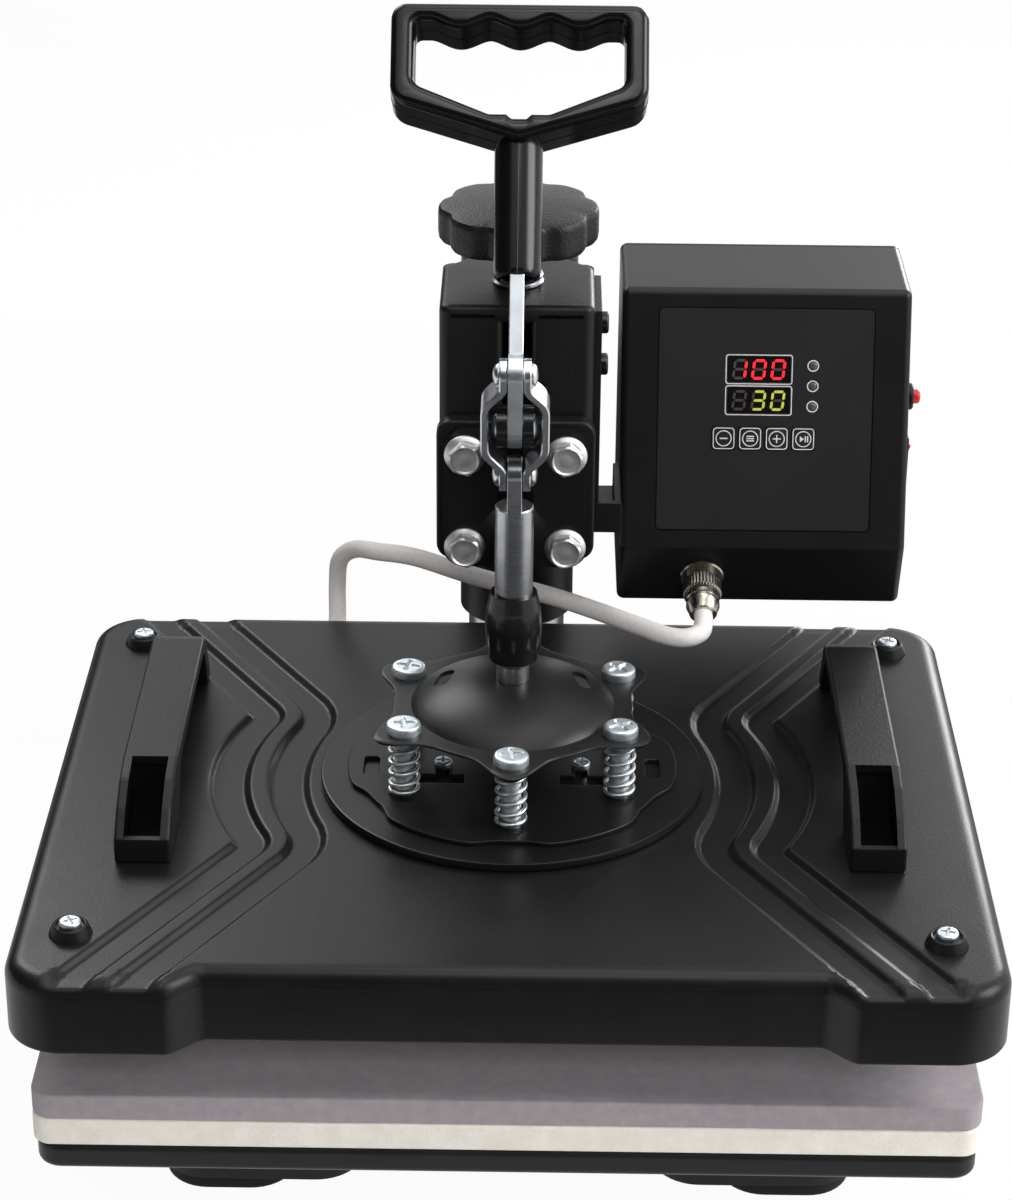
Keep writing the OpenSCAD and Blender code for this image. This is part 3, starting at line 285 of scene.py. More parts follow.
paper_white = {"Base Color": (0.86, 0.86, 0.86, 1), "Roughness": 0.9}
sweep_look, sweep_tree, sweep_paper = new_look("white_sweep", paper_white)
sweep_white = wired(sweep_tree, "Emission", {"Strength": 1.0})
sweep_mix = wired(sweep_tree, "MixShader", links={
    0: seen_directly(sweep_tree, 0.95), 1: sweep_paper.outputs[0], 2: sweep_white.outputs[0],
})
sweep_tree.links.new(sweep_mix.outputs[0], sweep_tree.nodes["Material Output"].inputs["Surface"])
stood("sweep", [(-9, -9, 0), (9, -9, 0), (9, 9, 0), (-9, 9, 0)], sweep_look)

room = bpy.data.worlds.new("room")
scene.world = room
room.use_nodes = True
room_tree = room.node_tree
room_light = room_tree.nodes["Background"]
room_light.inputs["Color"].default_value = (1, 1, 1, 1)
room_level = worked(room_tree, "MAXIMUM", seen_directly(room_tree, 1.0), 0.36)
room_tree.links.new(room_level, room_light.inputs["Strength"])

soft_boxes = [
    ("right", (1.3, -0.2, 1.1), 0.8, 18.0),
    ("front", (0.2, -1.9, 1.25), 0.9, 22.0),
    ("front_top", (0.1, -0.75, 1.9), 0.4, 3.0),
    ("back_right", (0.8, 1.4, 0.65), 0.5, 11.0),
    ("back_left", (-0.7, 1.2, 1.3), 0.6, 8.0),
    ("overhead", (0.25, 0.2, 1.9), 0.9, 5.0),
]
lit_spot = Vector((0, 0, 0.18))
for name, spot, side, watts in soft_boxes:
    lamp = bpy.data.lights.new(name, "AREA")
    lamp.size = side
    lamp.energy = watts
    holder = placed(name, lamp)
    holder.location = spot
    holder.visible_glossy = name != "front"
    holder.rotation_euler = (lit_spot - Vector(spot)).to_track_quat("-Z", "Y").to_euler()

card_look = new_look("black_card", {"Base Color": (0.02, 0.02, 0.02, 1), "Roughness": 0.95})[0]
cards = {
    "card_left": [(-0.95, -1.0, 0.2), (-0.95, 0.5, 0.2), (-0.95, 0.5, 1.7), (-0.95, -1.0, 1.7)],
    "card_back_left": [(-2.2, 1.2, 0), (-0.4, 1.6, 0), (-0.4, 1.6, 0.9), (-2.2, 1.2, 0.9)],
    "card_front": [(-0.6, -1.15, 0.004), (0.6, -1.15, 0.004), (0.6, -0.36, 0.004), (-0.6, -0.36, 0.004)],
    "card_behind": [(-2, -2.4, 0), (2, -2.4, 0), (2, -2.4, 2.9), (-2, -2.4, 2.9)],
    "card_rear": [(-0.6, 0.26, 0.004), (0.6, 0.26, 0.004), (0.6, 0.9, 0.004), (-0.6, 0.9, 0.004)],
}
for name, corners in cards.items():
    card = stood(name, corners, card_look)
    card.visible_camera = False
    card.visible_shadow = False


# Base frame: two pairs of splayed legs on a spine, pressed from steel sheet, welded and
# stove-enamelled black. Four moulded rubber feet are screwed under the leg ends.
mm = 0.001


def tinted(tree, skin, fac, low, high, dark, light):
    """Colours the surface from dark to light as fac goes from low to high."""
    tone = wired(tree, "ValToRGB", links={"Fac": fac})
    for stop, position, colour in zip(tone.color_ramp.elements, (low, high), (dark, light)):
        stop.position = position
        stop.color = (*colour, 1)
    tree.links.new(tone.outputs["Color"], skin.inputs["Base Color"])


def glossed(tree, skin, fac, least, most):
    """Varies the surface's roughness between two values."""
    gloss = wired(tree, "MapRange", {"To Min": least, "To Max": most}, {"Value": fac})
    tree.links.new(gloss.outputs["Result"], skin.inputs["Roughness"])


def embossed(tree, skin, height, strength, deep):
    """Gives the surface a relief that is deep millimetres high."""
    relief = wired(tree, "Bump", {"Strength": strength, "Distance": deep * mm}, {"Height": height})
    tree.links.new(relief.outputs["Normal"], skin.inputs["Normal"])


def mottle(tree, place, scale, detail):
    """Cloudy noise over a piece."""
    return wired(tree, "TexNoise", {"Scale": scale, "Detail": detail}, {"Vector": place}).outputs["Fac"]


def enamel(name, colour, rough, speckle=0.12, grain=900, bump=0.05, specular=0.22):
    """Paint on metal: slow clouds in tone and gloss, and the fine peel that a spray gun leaves."""
    look, tree, skin = new_look(name, {"Specular IOR Level": specular})
    place = wired(tree, "TexCoord").outputs["Object"]
    clouds = mottle(tree, place, 38, 5)
    dark, light = ([c * (1 + share) for c in colour] for share in (-speckle, speckle))
    tinted(tree, skin, clouds, 0.3, 0.72, dark, light)
    glossed(tree, skin, clouds, rough - 0.06, rough + 0.06)
    embossed(tree, skin, mottle(tree, place, grain, 3), 0.5, bump)
    return look


def piece(name, mesh, look, body, *nodes, sharp=32):
    """Puts a finished mesh on its body, in place of the nodes that it stands for."""
    form = bmesh.new()
    form.from_mesh(mesh)
    bmesh.ops.remove_doubles(form, verts=form.verts, dist=1e-6)
    bmesh.ops.recalc_face_normals(form, faces=form.faces)
    form.to_mesh(mesh)
    form.free()
    mesh.materials.clear()
    mesh.materials.append(look)
    mesh.shade_smooth()
    mesh.set_sharp_from_angle(angle=math.radians(sharp))
    mesh.name = name
    made = placed(name, mesh)
    level = made.modifiers.new("flat_faces_first", "WEIGHTED_NORMAL")
    level.keep_sharp = True
    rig.ride(made, body)
    if nodes:
        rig.replaces(made, *nodes)
        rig.slot(made, nodes[0])
    return made


def eased(node, look, width):
    """The node's own solid with its sharp edges broken, for a plain piece that isn't razor-edged."""
    body = frame["nodes"][node]["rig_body"]
    form = bmesh.new()
    form.from_mesh(frame["nodes"][node].data)
    bmesh.ops.remove_doubles(form, verts=form.verts, dist=2e-6)
    bmesh.ops.dissolve_limit(
        form, angle_limit=math.radians(0.6), verts=form.verts, edges=form.edges, delimit=set()
    )
    corners = [e for e in form.edges if e.is_manifold and e.calc_face_angle(0) > math.radians(38)]
    bmesh.ops.bevel(
        form, geom=corners, offset=width * mm, segments=2, profile=0.6, affect="EDGES", clamp_overlap=True
    )
    mesh = bpy.data.meshes.new(node)
    form.to_mesh(mesh)
    form.free()
    return piece(node + "_eased", mesh, look, body, node)


def joined(*meshes):
    """Several closed forms as one mesh."""
    form = bmesh.new()
    for mesh in meshes:
        form.from_mesh(mesh)
    both = bpy.data.meshes.new("joined")
    form.to_mesh(both)
    form.free()
    return both


def span(node):
    """Middle of a node's box in the frame, and its size in millimetres."""
    low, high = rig.box(node)
    return (low + high) / 2, (high - low) / mm


def round_rect(width, height, corner, steps=7):
    """Outline of a rectangle with round corners, about its middle."""
    line = []
    for k, (sx, sy) in enumerate([(1, 1), (-1, 1), (-1, -1), (1, -1)]):
        for i in range(steps + 1):
            turn = math.pi / 2 * (k + i / steps)
            x = sx * (width / 2 - corner) + corner * math.cos(turn)
            y = sy * (height / 2 - corner) + corner * math.sin(turn)
            line.append((x, y))
    return line


def plate(outlines, thick, edge, place, grow=0.0, rounds=3, unit=mm):
    """Flat part with rounded rims, in millimetres or another unit: filled outlines, centred on place."""
    curve = bpy.data.curves.new("outline", "CURVE")
    curve.dimensions = "2D"
    curve.fill_mode = "BOTH"
    curve.extrude = (thick / 2 - edge) * unit
    curve.bevel_depth = edge * unit
    curve.bevel_resolution = rounds
    curve.offset = (grow - edge) * unit
    for outline in outlines:
        run = curve.splines.new("POLY")
        run.points.add(len(outline) - 1)
        for point, (x, y) in zip(run.points, outline):
            point.co = (x * unit, y * unit, 0, 1)
        run.use_cyclic_u = True
    carrier = placed("outline", curve)
    view = bpy.context.evaluated_depsgraph_get()
    mesh = bpy.data.meshes.new_from_object(carrier.evaluated_get(view))
    bpy.data.objects.remove(carrier)
    bpy.data.curves.remove(curve)
    mesh.transform(place)
    return mesh


frame_black = enamel("frame_enamel", (0.014, 0.014, 0.015), 0.42)
eased("base_frame", frame_black, 1.6)
rubber = enamel("foot_rubber", (0.012, 0.012, 0.012), 0.72, grain=500, bump=0.12, specular=0.25)
feet_mid, feet_size = span("rubber_feet")
foot_w, foot_d = 56, 44
feet = []
for x in (-1, 1):
    for y in (-1, 1):
        step = Vector((x * (feet_size.x - foot_w), y * (feet_size.y - foot_d), 0)) / 2 * mm
        foot_line = round_rect(foot_w, foot_d, 19, 10)
        feet.append(plate([foot_line], feet_size.z, 1.4, Matrix.Translation(feet_mid + step)))
piece("feet", joined(*feet), rubber, "base", "rubber_feet")


# Pedestal: a square steel column welded to the spine, with a flange on top. Four zinc
# plated hex screws come up through the flange into the lower platen.
def plated(name, colour, rough, streak=(1, 1, 1), scale=160, spread=0.1, bump=0.012):
    """Bare or plated metal: cloudy plating, and fine tool marks drawn out along one axis by streak."""
    look, tree, skin = new_look(name, {"Metallic": 1.0})
    place = wired(tree, "TexCoord").outputs["Object"]
    dark, light = ([min(1, c * (1 + share)) for c in colour] for share in (-spread, spread))
    tinted(tree, skin, mottle(tree, place, 120, 4), 0.32, 0.7, dark, light)
    drawn = wired(tree, "Mapping", {"Scale": streak}, {"Vector": place})
    marks = mottle(tree, drawn.outputs["Vector"], scale, 3)
    glossed(tree, skin, marks, max(0.05, rough - 0.09), rough + 0.09)
    embossed(tree, skin, marks, 0.35, bump)
    return look


zinc = plated("zinc_plate", (0.62, 0.66, 0.70), 0.38, scale=700)
eased("pedestal", frame_black, 1.2)
eased("pedestal_bolts", zinc, 0.4)


# Lower platen: a flat aluminium plate, its rim rounded over, sprayed satin black and
# screwed down on the pedestal.
platen_mid, platen_size = span("lower_platen")
platen_black = enamel("platen_enamel", (0.014, 0.014, 0.0145), 0.36)
platen_line = round_rect(platen_size.x, platen_size.y, 10)
platen_slab = plate([platen_line], platen_size.z, 3.2, Matrix.Translation(platen_mid), rounds=4)
piece("platen_plate", platen_slab, platen_black, "base", "lower_platen")


# Felt and silicone: a firm white needle felt cut to the platen, and on it a grey sponge
# of silicone rubber. Both lie loose, so their cut edges run a little uneven.
def mesh_of(points, faces, place):
    """A mesh from points in millimetres, moved to its place."""
    mesh = bpy.data.meshes.new("form")
    mesh.from_pydata([tuple(c * mm for c in point) for point in points], [], faces)
    mesh.transform(place)
    return mesh


def banded(rings):
    """Faces between closed rings of points. A ring of one point is a pole."""
    faces = []
    for low, high in zip(rings, rings[1:]):
        count = max(len(low), len(high))
        for k in range(count):
            n = (k + 1) % count
            corners = [low[k % len(low)], low[n % len(low)], high[n % len(high)], high[k % len(high)]]
            corners = list(dict.fromkeys(corners))
            if len(corners) > 2:
                faces.append(corners)
    return faces


def stations_over(half, corner, step, count):
    """Places across a slab, close together over its round corners and even between them."""
    arc = [half - corner * (1 - math.cos(math.radians(a))) for a in range(0, 91, step)]
    plain = list(np.linspace(half - corner, -half + corner, count))[1:-1]
    return sorted([-x for x in arc] + plain + arc)


def corner_cut(x, half, corner):
    """How much a round corner takes off the slab's edge at x."""
    near = min(half - abs(x), corner)
    return corner - math.sqrt(max(0, corner ** 2 - (corner - near) ** 2))


def depth_inside(x, y, half_x, half_y, corner):
    """How far a place lies inside a rectangle with round corners."""
    qx, qy = abs(x) - (half_x - corner), abs(y) - (half_y - corner)
    return corner - math.hypot(max(qx, 0), max(qy, 0)) - min(max(qx, qy), 0)


def rim_fall(inside, edge):
    """How far a rounded rim has fallen at a place that is inside by so much."""
    inside = max(0, min(inside, edge))
    return edge - math.sqrt(edge ** 2 - (edge - inside) ** 2)


def grid_faces(grid):
    """Faces between the columns of a grid of points."""
    faces = []
    for low, high in zip(grid, grid[1:]):
        for j in range(len(low) - 1):
            faces.append((low[j], high[j], high[j + 1], low[j + 1]))
    return faces


def rim_walk(grid):
    """The points round the rim of a grid, in order."""
    last_i, last_j = len(grid) - 1, len(grid[0]) - 1
    around = [(i, 0) for i in range(last_i)] + [(last_i, j) for j in range(last_j)]
    around += [(i, last_j) for i in range(last_i, 0, -1)] + [(0, j) for j in range(last_j, 0, -1)]
    return [grid[i][j] for i, j in around]


def cut_pad(node, corner, edge, unrest, fine):
    """Slab in a node's place with soft rims. unrest is how far its top wanders, fine the size of it."""
    middle, size = span(node)
    half_x, half_y, half_z = size / 2
    rim = [r * edge / size.y for r in (0, 0.06, 0.25, 0.6, 1.1, 2)]
    shares = rim + list(np.linspace(0.02, 0.98, 66)) + [1 - r for r in reversed(rim)]
    points, top, bottom = [], [], []
    for x in stations_over(half_x, corner, 10, 88):
        reach = half_y - corner_cut(x, half_x, corner)
        tops, bottoms = [], []
        for share in shares:
            y = -reach + 2 * reach * share
            fall = rim_fall(depth_inside(x, y, half_x, half_y, corner), edge)
            spot = Vector((x, y, 0)) / fine
            sway = noise.noise(spot) * unrest + noise.noise(spot * 0.18) * unrest * 1.5
            tops.append(len(points))
            points.append((x, y, half_z - fall + min(0, sway - unrest * 0.5)))
            bottoms.append(len(points))
            points.append((x, y, fall - half_z))
        top.append(tops)
        bottom.append(bottoms)
    faces = grid_faces(top) + grid_faces(bottom) + banded([rim_walk(top), rim_walk(bottom)])
    return mesh_of(points, faces, Matrix.Translation(middle))


def fibre(name, dark, light, rough, scale, bump, sheen):
    """Felt or sponge: mottled in colour, with a deep soft nap or open pores in the relief."""
    values = {"Roughness": rough, "Specular IOR Level": 0.2, "Sheen Weight": sheen}
    look, tree, skin = new_look(name, values)
    place = wired(tree, "TexCoord").outputs["Object"]
    coarse_size = {"Scale": scale * 0.12, "Detail": 6, "Roughness": 0.65}
    coarse = wired(tree, "TexNoise", coarse_size, {"Vector": place})
    tinted(tree, skin, coarse.outputs["Fac"], 0.28, 0.7, dark, light)
    nap = wired(tree, "TexNoise", {"Scale": scale, "Detail": 8, "Distortion": 1.2}, {"Vector": place})
    embossed(tree, skin, nap.outputs["Fac"], 0.8, bump)
    return look


felt_look = fibre("needle_felt", (0.84, 0.785, 0.70), (0.94, 0.90, 0.83), 0.95, 900, 0.5, 0.2)
sponge_look = fibre("silicone_sponge", (0.31, 0.28, 0.30), (0.38, 0.345, 0.365), 0.8, 1500, 0.1, 0.1)
felt = piece("felt_sheet", cut_pad("felt_pad", 8, 1.3, 0.25, 9), felt_look, "base", "felt_pad")
sponge_pad = cut_pad("silicone_pad", 9, 0.9, 0.2, 30)
sponge = piece("sponge_sheet", sponge_pad, sponge_look, "base", "silicone_pad")
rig.padded(felt, fill=1.0)
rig.padded(sponge, fill=1.0)


# Post: a turned steel bar on a welded flange, held to the frame by four hex screws. The
# swing head hangs on it.
def lathe(profile, place, steps=72, shape=None):
    """Turned form: (radius, height) pairs in millimetres spun about Z.

    A third number caps the radius where shape bends it.
    """
    points, rings = [], []
    for radius, height, *cap in profile:
        first = len(points)
        if radius == 0:
            points.append((0, 0, height))
            rings.append([first])
            continue
        for k in range(steps):
            turn = 2 * math.pi * k / steps
            reach = radius * (shape(turn, radius) if shape else 1)
            if cap:
                reach = min(reach, cap[0])
            points.append((reach * math.cos(turn), reach * math.sin(turn), height))
        rings.append(range(first, first + steps))
    return mesh_of(points, banded(rings), place)


def foot_of(node, carrier):
    """The place at the foot of a node, in the middle of the node that carries it."""
    middle = span(carrier)[0]
    return Matrix.Translation((middle.x, middle.y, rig.box(node)[0].z))


ground = plated("ground_steel", (0.48, 0.49, 0.51), 0.3, streak=(1, 1, 30), scale=60, bump=0.008)
post_size = span("post")[1]
post_r, flange_r, flange_h, post_h = 23, post_size.x / 2, 9, post_size.z
post_profile = [
    (0, 0), (flange_r - 0.6, 0), (flange_r, 0.6), (flange_r, flange_h - 1.5), (flange_r - 1.5, flange_h),
    (post_r + 4, flange_h), (post_r + 1.2, flange_h + 1.2), (post_r, flange_h + 4), (post_r, post_h - 2),
    (post_r - 2, post_h), (0, post_h),
]
piece("post_bar", lathe(post_profile, foot_of("post", "post")), ground, "base", "post")
eased("post_bolts", zinc, 0.4)


# Swing sleeve: a steel tube that turns on the post, closed by a pressed cap. A square tube
# is welded between it and the head box. All of it is enamelled with the box.
head_black = enamel("head_enamel", (0.009, 0.009, 0.0095), 0.36, grain=760, bump=0.3)
sleeve_size = span("swing_sleeve")[1]
sleeve_r, sleeve_h, bore_r = sleeve_size.x / 2, sleeve_size.z, post_r + 0.05
sleeve_profile = [
    (bore_r, 0), (sleeve_r - 1.2, 0), (sleeve_r, 1.2), (sleeve_r, sleeve_h - 0.6), (sleeve_r - 0.6, sleeve_h),
    (bore_r, sleeve_h), (bore_r, 0),
]
sleeve = lathe(sleeve_profile, foot_of("swing_sleeve", "post"))
piece("sleeve_tube", sleeve, head_black, "head", "swing_sleeve")
cap_h, plug_h = span("sleeve_cap")[1].z, 5.9
cap_profile = [
    (0, 0), (bore_r, 0), (bore_r, plug_h), (sleeve_r, plug_h + 0.05), (sleeve_r - 0.4, plug_h + 1.2),
    (sleeve_r - 1.8, cap_h - 0.6), (sleeve_r - 4, cap_h), (0, cap_h),
]
piece("sleeve_lid", lathe(cap_profile, foot_of("sleeve_cap", "post")), head_black, "head", "sleeve_cap")
eased("head_arm", head_black, 1.5)


# Head box: a C-section folded from sheet, its two front lips rolled inward beside the
# slot, its top edge rounded over to a flat lid. A bright washer under the knob takes the thrust.
def softened(corners, radius, steps=6):
    """Closed outline through corners, each rounded by radius or by its own third number."""
    line = []
    count = len(corners)
    for k in range(count):
        here = Vector(corners[k][:2])
        before = Vector(corners[k - 1][:2]) - here
        after = Vector(corners[(k + 1) % count][:2]) - here
        bend = corners[k][2] if len(corners[k]) > 2 else radius
        angle = before.angle(after)
        if bend <= 0 or angle > math.radians(179):
            line.append(tuple(here))
            continue
        cut_off = min(bend / math.tan(angle / 2), before.length * 0.49, after.length * 0.49)
        bend = cut_off * math.tan(angle / 2)
        inward = (before.normalized() + after.normalized()).normalized()
        heart = here + inward * (bend / math.sin(angle / 2))
        start = here + before.normalized() * cut_off - heart
        end = here + after.normalized() * cut_off - heart
        sweep_angle = start.angle_signed(end)
        for i in range(steps + 1):
            turn = -sweep_angle * i / steps
            spoke = Vector((
                start.x * math.cos(turn) - start.y * math.sin(turn),
                start.x * math.sin(turn) + start.y * math.cos(turn),
            ))
            line.append(tuple(heart + spoke))
    return line


def ring(radius, steps=28):
    """Round outline."""
    turns = np.linspace(0, 2 * math.pi, steps, False)
    return [(radius * math.cos(a), radius * math.sin(a)) for a in turns]


box_low, box_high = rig.box("head_box")
box_mid = (box_low + box_high) / 2
box_x, box_y = box_high.x, (box_high.y - box_low.y) / 2
box_wall, lip_x, lip_in, lid_t, fold = 4 * mm, 6 * mm, 6.4 * mm, 8 * mm, 5 * mm
lip_fold, in_fold, lid_gap, lid_cut, bore = 1.5 * mm, 2 * mm, 3.2 * mm, 11 * mm, 6.4
skin_out = [
    (-lip_x, -box_y + lip_in), (-lip_x, -box_y, fold), (-box_x, -box_y, fold), (-box_x, box_y, fold),
    (box_x, box_y, fold), (box_x, -box_y, fold), (lip_x, -box_y, fold), (lip_x, -box_y + lip_in),
]
lip_back, in_x, in_y = lip_x + box_wall, box_x - box_wall, box_y - box_wall
skin_in = [
    (lip_back, -box_y + lip_in), (lip_back, -in_y, lip_fold), (in_x, -in_y, in_fold), (in_x, in_y, in_fold),
    (-in_x, in_y, in_fold), (-in_x, -in_y, in_fold), (-lip_back, -in_y, lip_fold),
    (-lip_back, -box_y + lip_in),
]
wall_h = box_high.z - box_low.z - lid_gap
wall_place = Matrix.Translation((box_mid.x, box_mid.y, box_low.z + wall_h / 2))
lid_place = Matrix.Translation((box_mid.x, box_mid.y, box_high.z - lid_t / 2))
lid_line = softened([
    (-box_x, -box_y), (box_x, -box_y), (box_x, box_y - lid_cut), (box_x - lid_cut, box_y),
    (-box_x + lid_cut, box_y), (-box_x, box_y - lid_cut),
], fold)
box_skin = plate([softened(skin_out + skin_in, 0.0, 8)], wall_h, 0.1 * mm, wall_place, unit=1)
box_lid = plate([lid_line, ring(bore * mm, 32)], lid_t, 3.0 * mm, lid_place, rounds=4, unit=1)
piece("head_channel", joined(box_skin, box_lid), head_black, "head", "head_box")
bright = plated("bright_plate", (0.68, 0.70, 0.73), 0.3, scale=500, spread=0.05)
washer_size = span("screw_collar")[1]
washer_r, washer_h = washer_size.x / 2, washer_size.z
washer_profile = [
    (bore, 0), (washer_r - 0.8, 0), (washer_r, 0.8), (washer_r, washer_h - 0.8), (washer_r - 0.8, washer_h),
    (bore, washer_h), (bore, 0),
]
washer = lathe(washer_profile, foot_of("screw_collar", "head_box"))
piece("thrust_washer", washer, bright, "head", "screw_collar")


# Control bracket: a folded steel angle screwed to the right of the box by two black pan
# screws. Its lower tab carries the console.
def pan_head(width, height, place, slot_share=0.66, rows=22, steps=72):
    """Pan head of a screw with a cross recess, standing on the XY plane of place."""
    radius, skirt = width / 2, height * 0.6
    deep, arm = height * 0.42, width * 0.062
    reach = radius * slot_share
    points = [(0, 0, height - deep)]
    rings = [[0]]
    for i in range(1, rows + 1):
        r = radius * (i / rows) ** 0.8
        rings.append(range(len(points), len(points) + steps))
        for k in range(steps):
            turn = 2 * math.pi * k / steps
            x, y = r * math.cos(turn), r * math.sin(turn)
            crown = skirt + (height - skirt) * math.sqrt(max(0, 1 - (r / radius) ** 9))
            cross = 0
            for along, across in ((abs(x), abs(y)), (abs(y), abs(x))):
                side = min(1, max(0, (arm * (1.15 - 0.4 * along / reach) - across) / (arm * 0.35) + 0.5))
                end = min(1, max(0, (reach - along) / (arm * 0.8) + 0.5))
                cross = max(cross, side * end * (1 - 0.45 * along / reach))
            points.append((x, y, crown - deep * max(0, cross)))
    foot = range(len(points), len(points) + steps)
    points += [(x, y, 0) for x, y in ring(radius, steps)]
    return mesh_of(points, banded(rings + [foot]) + [tuple(reversed(foot))], place)


eased("control_bracket", head_black, 0.7)
black_oxide = plated("black_oxide", (0.05, 0.05, 0.052), 0.34, scale=500)
facing_right = Matrix.Rotation(math.pi / 2, 4, "Y")
screws_mid, screws_size = span("bracket_screws")
pan_w, pan_h = 9.5, 3
pan_screws = []
for s in (-1, 1):
    step = Vector((screws_size.x / 2 - pan_h, 0, s * (screws_size.z - pan_w) / 2)) * mm
    pan_screws.append(pan_head(pan_w, pan_h, Matrix.Translation(screws_mid + step) @ facing_right))
piece("bracket_pan_screws", joined(*pan_screws), black_oxide, "head", "bracket_screws")


# Console: a moulded shell with a leaning face and a chin, closed behind by a flat wall.
# A printed film lies in its recess, round two digit windows, three lamps and four keys.
def cut(mesh, *tools, sheet=0.0):
    """Takes the form of each tool out of a mesh, or out of a sheet that is first given its thickness."""
    solid = placed("solid", mesh)
    spare = [solid]
    if sheet:
        body = solid.modifiers.new("sheet", "SOLIDIFY")
        body.thickness = sheet * mm
        body.offset = -1
    for tool in tools:
        knife = placed("knife", tool)
        spare.append(knife)
        step = solid.modifiers.new("cut", "BOOLEAN")
        step.operation = "DIFFERENCE"
        step.solver = "EXACT"
        step.object = knife
    view = bpy.context.evaluated_depsgraph_get()
    result = bpy.data.meshes.new_from_object(solid.evaluated_get(view))
    for thing in spare:
        bpy.data.objects.remove(thing)
    return result


rod_y = span("plunger_rod")[0].y


def at(x, y, z):
    """A place in millimetres from the plunger axis and the table top, as a matrix in the frame."""
    return Matrix.Translation((x * mm, y * mm + rod_y, z * mm))


side_on = Matrix(((0, 0, 1, 0), (1, 0, 0, 0), (0, 1, 0, 0), (0, 0, 0, 1)))
front_on = Matrix.Rotation(math.pi / 2, 4, "X")
moulded = enamel("console_moulding", (0.007, 0.007, 0.0075), 0.38, grain=1100, bump=0.07, specular=0.25)
case_x, case_w, case_back = 110, 128, 184
face_y, face_z, face_run, face_rise = 95, 221, 32, 111
chin_run, chin_drop = 12, 32
case_foot, case_top = face_z - chin_drop, face_z + face_rise
face_len = math.hypot(face_rise, face_run)
half_up = face_len / 2
face = at(case_x, face_y, face_z) @ Matrix.Rotation(-math.atan2(face_run, face_rise), 4, "X") @ front_on
shell_side = softened([
    (face_y, face_z, 2), (face_y + chin_run, case_foot, 3), (case_back, case_foot, 0),
    (case_back, case_top, 0), (face_y + face_run, case_top, 4),
], 0, 6)


def on_face(x, up, out):
    """A place on the leaning face, in millimetres from the middle of its lower edge, Z pointing out."""
    return face @ Matrix.Translation((x * mm, up * mm, out * mm))


panel_w, panel_h, panel_deep = 96, 100, 1.5
shell = plate([shell_side], case_w, 3.2, at(case_x, 0, 0) @ side_on, rounds=4)
recess = plate([round_rect(panel_w, panel_h, 2.5)], 2 * panel_deep, 0.2, on_face(0, half_up, 0))
piece("console_shell", cut(shell, recess), moulded, "head", "control_shell")
back_t = 3
back_place = at(case_x, case_back + back_t / 2, (case_foot + case_top) / 2) @ front_on
back_wall = plate([round_rect(case_w, case_top - case_foot, 3.4)], back_t, 1.0, back_place)
piece("console_back", back_wall, moulded, "head", "control_back")

film_black = (0.016, 0.016, 0.0175)
film = enamel("panel_film", film_black, 0.36, speckle=0.06, grain=1400, bump=0.06, specular=0.25)
key_places = [((k - 1.5) * 11.8 - 0.4, 0.4284 * face_len) for k in range(4)]
display_places = [(-3, 0.695 * face_len), (-3, 0.5755 * face_len)]
lamp_places = [(20.9, (0.711 - 0.0785 * k) * face_len) for k in range(3)]


def shifted(outline, x, y):
    """An outline moved within its plane."""
    return [(px + x, py + y) for px, py in outline]


film_lines = [round_rect(panel_w - 1.1, panel_h - 1.1, 2.0)]
pane_w, pane_h, key_w, lens_r, play = 27.6, 11.4, 10.4, 1.9, 0.1
openings = [
    (key_places, round_rect(key_w + 4 * play, key_w + 4 * play, 1.5)),
    (display_places, round_rect(pane_w + play, pane_h + play, 0.8)),
    (lamp_places, ring(lens_r + play)),
]
for places, opening in openings:
    film_lines += [shifted(opening, x, up - half_up) for x, up in places]
film_sheet = plate(film_lines, 1.15, 0.12, on_face(0, half_up, -0.88))
piece("printed_film", film_sheet, film, "head", "panel_overlay")


def glowing(name, colour, strength):
    """Lit plastic of a digit bar or lamp: its own glow under a slightly cloudy face."""
    look = enamel(name, colour, 0.3, speckle=0.15)
    skin = look.node_tree.nodes["Principled BSDF"]
    skin.inputs["Emission Color"].default_value = (*colour, 1)
    skin.inputs["Emission Strength"].default_value = strength
    return look


def inked(lines, x, up, out):
    """A print on the leaning face, as thin as ink."""
    return plate(lines, 0.08, 0.02, on_face(x, up, out))


white_ink = enamel("white_ink", (0.62, 0.62, 0.62), 0.5, speckle=0.06)
window_look = enamel("digit_window", (0.006, 0.005, 0.005), 0.12, speckle=0.2, bump=0.005, specular=0.5)
red_lit = glowing("red_digits", (0.9, 0.018, 0.03), 1.1)
green_lit = glowing("green_digits", (0.34, 0.40, 0.05), 0.6)
unlit = enamel("unlit_digits", (0.055, 0.045, 0.042), 0.45)
panes, marks = [], []
film_face, pane_face = -0.27, -0.59
for x, up in display_places:
    panes.append(plate([round_rect(pane_w, pane_h, 0.8)], 0.9, 0.1, on_face(x, up, -1.05)))
    marks.append(inked([round_rect(29.7, 13.3, 1.3), round_rect(28.8, 12.4, 0.9)], x, up, film_face))
for x, up in lamp_places:
    marks.append(inked([ring(2.6), ring(2.1)], x, up, film_face))
piece("digit_panes", joined(*panes), window_look, "head", "displays")
piece("panel_ink", joined(*marks), white_ink, "head", "panel_overlay")

bars = {"0": "abcdef", "1": "bc", "3": "abcdg", "8": "abcdefg"}
wide, tall, thick_bar, slant, digit_step = 5.0, 7.9, 1.15, 0.12, 8.5
middles = {
    "a": (0, tall / 2, 0), "g": (0, 0, 0), "d": (0, -tall / 2, 0), "b": (wide / 2, tall / 4, 1),
    "c": (wide / 2, -tall / 4, 1), "e": (-wide / 2, -tall / 4, 1), "f": (-wide / 2, tall / 4, 1),
}


